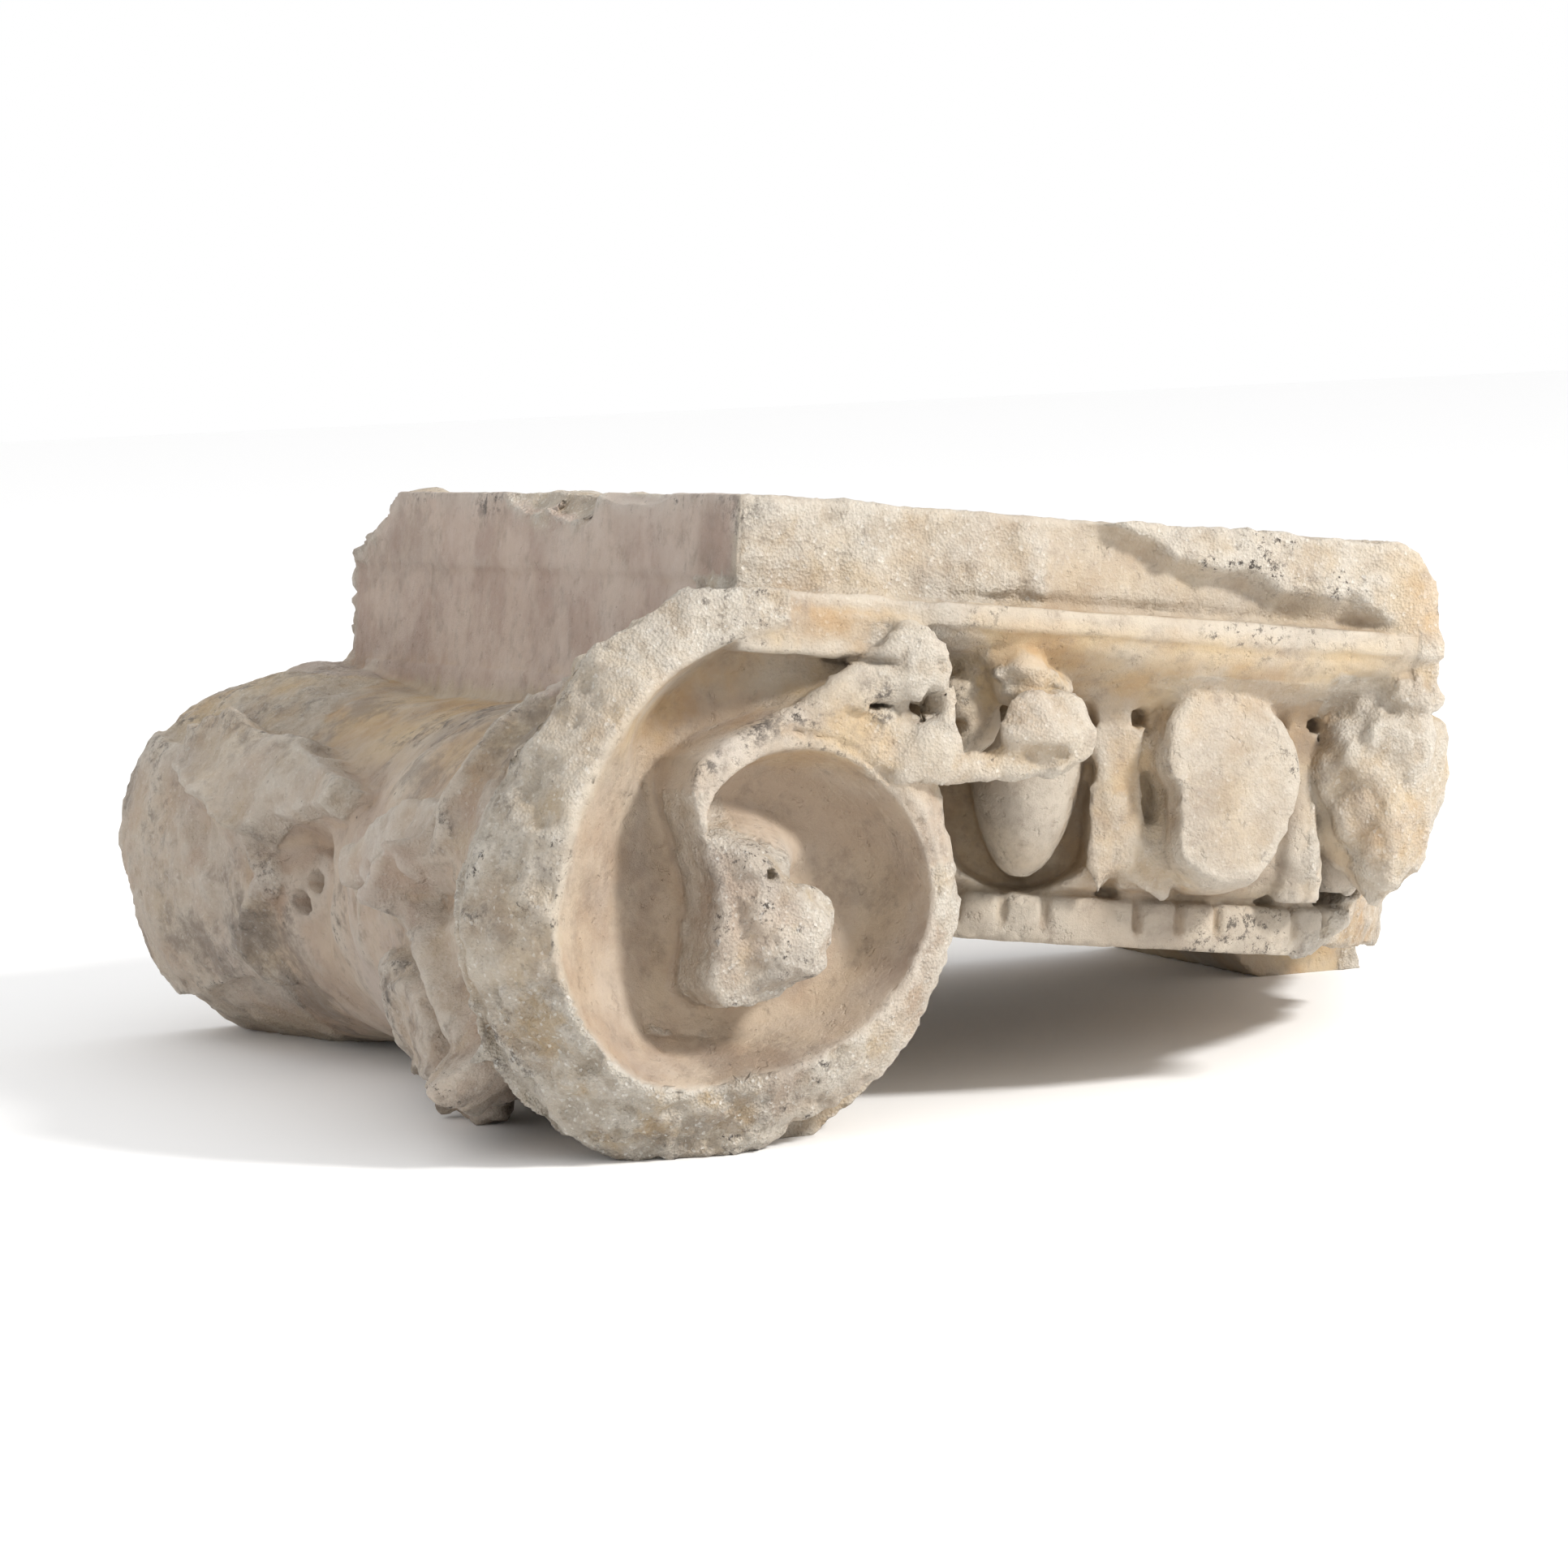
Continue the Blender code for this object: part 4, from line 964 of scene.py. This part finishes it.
def marble():
    """Weathered marble: warm patina, clean crystals on breaks, dark specks in rough places."""
    material = bpy.data.materials.new("weathered_marble")
    material.use_nodes = True
    tree = material.node_tree
    nodes = tree.nodes
    links = tree.links
    shader = nodes["Principled BSDF"]
    place = nodes.new("ShaderNodeTexCoord")

    def noise(scale, detail, rough=0.6):
        node = nodes.new("ShaderNodeTexNoise")
        node.inputs["Scale"].default_value = scale
        node.inputs["Detail"].default_value = detail
        node.inputs["Roughness"].default_value = rough
        links.new(place.outputs["Object"], node.inputs["Vector"])
        return node.outputs["Fac"]

    def ramp_of(value, low, high, first=0.0, last=1.0):
        node = nodes.new("ShaderNodeMapRange")
        node.interpolation_type = "SMOOTHSTEP"
        node.inputs["From Min"].default_value = low
        node.inputs["From Max"].default_value = high
        node.inputs["To Min"].default_value = first
        node.inputs["To Max"].default_value = last
        links.new(value, node.inputs["Value"])
        return node.outputs["Result"]

    def blend(share, first, last):
        node = nodes.new("ShaderNodeMix")
        node.data_type = "RGBA"
        for socket, value in ((node.inputs[0], share), (node.inputs[6], first), (node.inputs[7], last)):
            if isinstance(value, (tuple, float)):
                socket.default_value = value
            else:
                links.new(value, socket)
        return node.outputs[2]

    def times(first, last, operation="MULTIPLY"):
        node = nodes.new("ShaderNodeMath")
        node.operation = operation
        for socket, value in ((node.inputs[0], first), (node.inputs[1], last)):
            if isinstance(value, float):
                socket.default_value = value
            else:
                links.new(value, socket)
        return node.outputs[0]

    def attribute(name):
        node = nodes.new("ShaderNodeAttribute")
        node.attribute_name = name
        return node.outputs["Fac"]

    broken = attribute("broken")
    sunk = attribute("sunk")
    edge = attribute("edge")
    warm = attribute("warm")
    side = attribute("side")
    blotch_strength = attribute("blotch_strength")
    moss = attribute("moss")
    cloud = noise(9.0, 5.0)
    streak = noise(26.0, 7.0)
    gritty = noise(85.0, 7.0, 0.7)
    beige = blend(ramp_of(streak, 0.36, 0.64), (0.40, 0.32, 0.24, 1.0), (0.55, 0.47, 0.37, 1.0))
    beige = blend(times(ramp_of(cloud, 0.46, 0.64), 0.7), beige, (0.60, 0.54, 0.46, 1.0))
    rose = blend(ramp_of(streak, 0.38, 0.62), (0.43, 0.315, 0.255, 1.0), (0.56, 0.44, 0.365, 1.0))
    rose = blend(times(ramp_of(cloud, 0.46, 0.62), 0.6), rose, (0.60, 0.50, 0.43, 1.0))
    patina = blend(side, beige, rose)
    ochre = blend(ramp_of(streak, 0.34, 0.66), (0.50, 0.31, 0.14, 1.0), (0.63, 0.47, 0.27, 1.0))
    warmth = times(times(warm, ramp_of(noise(17.0, 5.0), 0.34, 0.62)), times(sunk, 0.32), "MAXIMUM")
    colour = blend(warmth, patina, ochre)
    fresh = blend(ramp_of(gritty, 0.36, 0.64), (0.455, 0.39, 0.31, 1.0), (0.69, 0.635, 0.55, 1.0))
    colour = blend(times(broken, ramp_of(noise(21.0, 6.0), 0.34, 0.60)), colour, fresh)
    tan = times(times(broken, ramp_of(noise(33.0, 5.0), 0.52, 0.68)), 0.65)
    colour = blend(tan, colour, (0.48, 0.36, 0.22, 1.0))
    colour = blend(times(edge, 0.35), colour, (0.66, 0.62, 0.55, 1.0))
    dust = times(ramp_of(gritty, 0.50, 0.70), 0.50)
    colour = blend(dust, colour, (0.29, 0.225, 0.17, 1.0))
    # Dark blotches, stronger on the bolster's outer side and towards the bottom
    dark_blotches = times(ramp_of(noise(12.0, 9.0, 0.72), 0.50, 0.60), times(blotch_strength, 0.55))
    colour = blend(dark_blotches, colour, (0.20, 0.155, 0.12, 1.0))
    colour = blend(0.14, colour, (0.10, 0.08, 0.06, 1.0))
    lichen = times(ramp_of(noise(210.0, 6.0, 0.8), 0.53, 0.62), ramp_of(noise(13.0, 6.0), 0.52, 0.64))
    lichen = times(lichen, times(times(edge, 0.6), times(broken, 0.35), "ADD"), "MULTIPLY")
    specks = times(ramp_of(noise(260.0, 4.0, 0.8), 0.64, 0.70), ramp_of(noise(19.0, 5.0), 0.44, 0.62))
    crust = times(moss, times(ramp_of(noise(150.0, 8.0, 0.8), 0.46, 0.60), ramp_of(noise(40.0, 6.0), 0.40, 0.58)))
    dark = times(times(times(lichen, 1.6), times(specks, 0.75), "MAXIMUM"), crust, "MAXIMUM")
    colour = blend(times(dark, 0.88), colour, (0.060, 0.047, 0.038, 1.0))
    crystal = nodes.new("ShaderNodeTexVoronoi")
    crystal.inputs["Scale"].default_value = 760.0
    links.new(place.outputs["Object"], crystal.inputs["Vector"])
    glint = times(ramp_of(crystal.outputs["Color"], 0.74, 0.98), broken)
    colour = blend(times(glint, 0.34), colour, (0.84, 0.82, 0.77, 1.0))
    links.new(colour, shader.inputs["Base Color"])
    links.new(ramp_of(noise(120.0, 5.0), 0.3, 0.7, 0.50, 0.80), shader.inputs["Roughness"])
    shader.inputs["Subsurface Weight"].default_value = 0.06
    shader.inputs["Subsurface Radius"].default_value = (0.010, 0.007, 0.005)
    shader.inputs["Subsurface Scale"].default_value = 0.3
    bump = nodes.new("ShaderNodeBump")
    bump.inputs["Strength"].default_value = 0.85
    bump.inputs["Distance"].default_value = 0.0022
    height = times(times(noise(300.0, 8.0, 0.75), 0.9), times(gritty, times(broken, 1.2)), "ADD")
    height = times(height, times(noise(48.0, 6.0), 0.6), "ADD")
    pit = ramp_of(noise(150.0, 4.0, 0.6), 0.30, 0.40)
    height = times(height, times(pit, 0.30), "ADD")
    height = times(height, times(crystal.outputs["Distance"], times(broken, 0.6)), "ADD")
    links.new(height, bump.inputs["Height"])
    links.new(bump.outputs["Normal"], shader.inputs["Normal"])
    return material


def cavity(body, rounds=14):
    """How sunk each place is below its surroundings, from the mesh smoothed."""
    points = points_of(body)
    mesh = body.data
    edges = np.empty(len(mesh.edges) * 2, dtype=np.int64)
    mesh.edges.foreach_get("vertices", edges)
    edges = edges.reshape(-1, 2)
    count = np.bincount(edges.ravel(), minlength=len(points)).astype(float)[:, None]
    smooth = points.copy()
    for _ in range(rounds):
        total = np.zeros_like(smooth)
        np.add.at(total, edges[:, 0], smooth[edges[:, 1]])
        np.add.at(total, edges[:, 1], smooth[edges[:, 0]])
        smooth = total / np.maximum(count, 1.0)
    return ((smooth - points) * normals_of(body)).sum(axis=1)


# Patches of dark lichen: middle, reach
LICHEN = (
    ((-0.254, -0.240, 0.076), 0.026),
    ((-0.232, -0.240, 0.090), 0.020),
    ((-0.256, -0.240, 0.024), 0.018),
    ((-0.300, -0.212, 0.106), 0.030),
    ((-0.326, -0.204, 0.062), 0.032),
    ((-0.335, -0.204, 0.014), 0.030),
    ((-0.318, -0.204, -0.048), 0.030),
    ((-0.262, -0.214, -0.090), 0.034),
    ((-0.302, -0.145, 0.070), 0.036),
    ((-0.322, -0.150, 0.030), 0.030),
    ((-0.310, -0.075, 0.062), 0.030),
    ((-0.318, -0.100, -0.010), 0.034),
    ((-0.300, 0.020, 0.070), 0.045),
    ((-0.310, 0.170, 0.072), 0.050),
    ((-0.330, 0.110, -0.010), 0.045),
    ((-0.330, 0.225, 0.030), 0.050),
    ((-0.300, 0.235, 0.070), 0.045),
    ((-0.320, -0.080, -0.050), 0.030),
    ((-0.270, -0.120, -0.080), 0.030),
    ((-0.270, 0.000, 0.084), 0.060),
    ((0.030, -0.232, 0.104), 0.014),
    ((0.034, -0.230, 0.060), 0.016),
    ((-0.088, -0.236, 0.106), 0.016),
    ((0.020, -0.238, 0.160), 0.012),
    ((-0.180, -0.242, 0.098), 0.016),
    ((-0.140, -0.236, 0.050), 0.018),
    ((-0.240, -0.220, 0.178), 0.020),
    ((-0.240, 0.060, 0.180), 0.030),
    ((-0.210, -0.246, -0.004), 0.010),
)


# Warm places: low corner, high corner, and how warm
WARM_BOXES = (
    ((-0.146, -0.236, 0.079), (-0.119, -0.190, 0.113), 0.9),
    ((-0.128, -AWAY, 0.108), (-0.080, -0.200, 0.128), 0.8),
)


def make_capital():
    parts = carved_block()
    parts += [carved_front(), carved_echinus(), carved_bolster(), carved_volute(), carved_stump()]
    parts += carved(LOBES)
    parts += carved(LEAVES)
    body = fused(parts, VOXEL)

    chipped(body)
    weathered(body)
    drilled(body)
    thinned(body)
    level = points_of(body)
    rough = region_rough(level)
    sink = cavity(body)
    x, y, z = level[:, 0], level[:, 1], level[:, 2]
    warm = 0.30 + 0.60 * ramp(x, 0.045, 0.085)
    warm = np.maximum(warm, 0.60 * (y > -0.226) * (y < -0.12) * (z > 0.024) * (z < 0.134) * ramp(x, -0.16, -0.10))
    for low, high, share in WARM_BOXES:
        warm = np.maximum(warm, share * within(level, low, high))
    warm = np.maximum(warm, 0.85 * ramp(z, 0.035, 0.075) * (x < LEFT - 0.002) * (y > -0.19) * (z < 0.125))
    warm = np.maximum(warm, 0.85 * ramp(z, 0.045, 0.085) * (y < -0.15) * (z < 0.136) * ramp(x, -0.32, -0.27))
    face = ((x < LEFT + 0.005) & (z > 0.092) & (y > np.where(z > SIDE_LINE, -0.2235, -0.198))).astype(float)
    shade = np.maximum(face, 0.8 * (x < LEFT - 0.02) * (y > -0.185) * (1.0 - ramp(z, 0.03, 0.08)))
    shade = np.maximum(shade, 0.45 * (np.hypot(x - EYE.x, z - EYE.z) < 0.09) * (y < -0.18))
    warm = np.where(face > 0.5, 0.06, warm)
    bright = ramp(-sink, 0.0005, 0.0022)
    moss = np.zeros(len(level))
    for middle, reach in LICHEN:
        away = np.linalg.norm(level - np.array(middle), axis=1) / reach
        moss = np.maximum(moss, 1.0 - ramp(away, 0.35, 1.0))
    moss *= 0.25 + 0.75 * ramp(-sink, -0.0002, 0.0012)
    # How strong the dark blotches are: stronger on the bolster's outer side and towards the bottom
    blotch_strength = 0.45 + 0.55 * ramp(-x, 0.242, 0.262) * (y > -0.19) + 0.25 * ramp(0.02 - z, -0.03, 0.05)
    mark_stone(body, {
        "broken": rough,
        "sunk": ramp(sink, 0.0005, 0.0032),
        "warm": warm,
        "side": shade,
        "edge": bright,
        "blotch_strength": blotch_strength,
        "moss": moss,
    })
    settled(body)
    choose(body)
    bpy.ops.object.shade_smooth()
    body.data.materials.clear()
    body.data.materials.append(marble())
    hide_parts("ionic_capital")
    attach(body, "root")
    return body


FLOOR_SIZE = 14.0
FLOOR_COLOUR = (0.96, 0.96, 0.96, 1.0)


def pale_floor():
    clear_choice()
    bpy.ops.mesh.primitive_plane_add(size=FLOOR_SIZE)
    floor = bpy.context.object
    floor.name = "floor"
    material = bpy.data.materials.new("floor")
    material.use_nodes = True
    shader = material.node_tree.nodes["Principled BSDF"]
    shader.inputs["Base Color"].default_value = FLOOR_COLOUR
    shader.inputs["Roughness"].default_value = 0.9
    floor.data.materials.append(material)
    return floor


# Camera, in the level frame: place, turns, and focal length in the photograph's pixels
CAMERA_PLACE = Vector((-1.1791, -2.4093, 0.1189))
CAMERA_YAW = math.radians(23.885)
CAMERA_PITCH = math.radians(1.345)
CAMERA_ROLL = math.radians(3.723)
CAMERA_FOCAL = 7197.3
PHOTO_SIDE = 1932
SENSOR = 36.0


def add_camera():
    level = math.cos(CAMERA_PITCH)
    forward = Vector((math.sin(CAMERA_YAW) * level, math.cos(CAMERA_YAW) * level, -math.sin(CAMERA_PITCH)))
    right = Vector((math.cos(CAMERA_YAW), -math.sin(CAMERA_YAW), 0.0))
    upward = right.cross(forward)
    tilted_right = right * math.cos(CAMERA_ROLL) + upward * math.sin(CAMERA_ROLL)
    tilted_up = upward * math.cos(CAMERA_ROLL) - right * math.sin(CAMERA_ROLL)
    turn = Matrix((tilted_right, tilted_up, -forward)).transposed().to_4x4()
    data = bpy.data.cameras.new("camera")
    data.sensor_width = SENSOR
    data.lens = SENSOR * CAMERA_FOCAL / PHOTO_SIDE
    data.clip_end = 50.0
    camera = bpy.data.objects.new("camera", data)
    camera.matrix_world = level_place() @ Matrix.Translation(CAMERA_PLACE) @ turn
    bpy.context.scene.collection.objects.link(camera)
    bpy.context.scene.camera = camera
    return camera


# Studio light: place, diameter, watts and colour, and the height that it points at
KEY_PLACE = (1.45, -2.15, 1.95)
KEY_SIZE = 0.50
KEY_POWER = 108.0
KEY_COLOUR = (1.0, 0.98, 0.95)
KEY_TARGET = Vector((0.0, 0.0, 0.12))


def add_light(name, place, size, power, colour):
    data = bpy.data.lights.new(name, "AREA")
    data.shape = "DISK"
    data.size = size
    data.energy = power
    data.color = colour
    light = bpy.data.objects.new(name, data)
    place = Vector(place)
    light.location = place
    light.rotation_euler = (place - KEY_TARGET).to_track_quat("Z", "Y").to_euler()
    bpy.context.scene.collection.objects.link(light)


def add_studio():
    world = bpy.data.worlds.new("studio")
    world.use_nodes = True
    world.node_tree.nodes["Background"].inputs["Color"].default_value = (1.0, 1.0, 1.0, 1.0)
    world.node_tree.nodes["Background"].inputs["Strength"].default_value = 1.0
    bpy.context.scene.world = world
    add_light("key", KEY_PLACE, KEY_SIZE, KEY_POWER, KEY_COLOUR)
    bpy.context.scene.view_settings.view_transform = "Standard"


make_capital()
pale_floor()
add_camera()
add_studio()
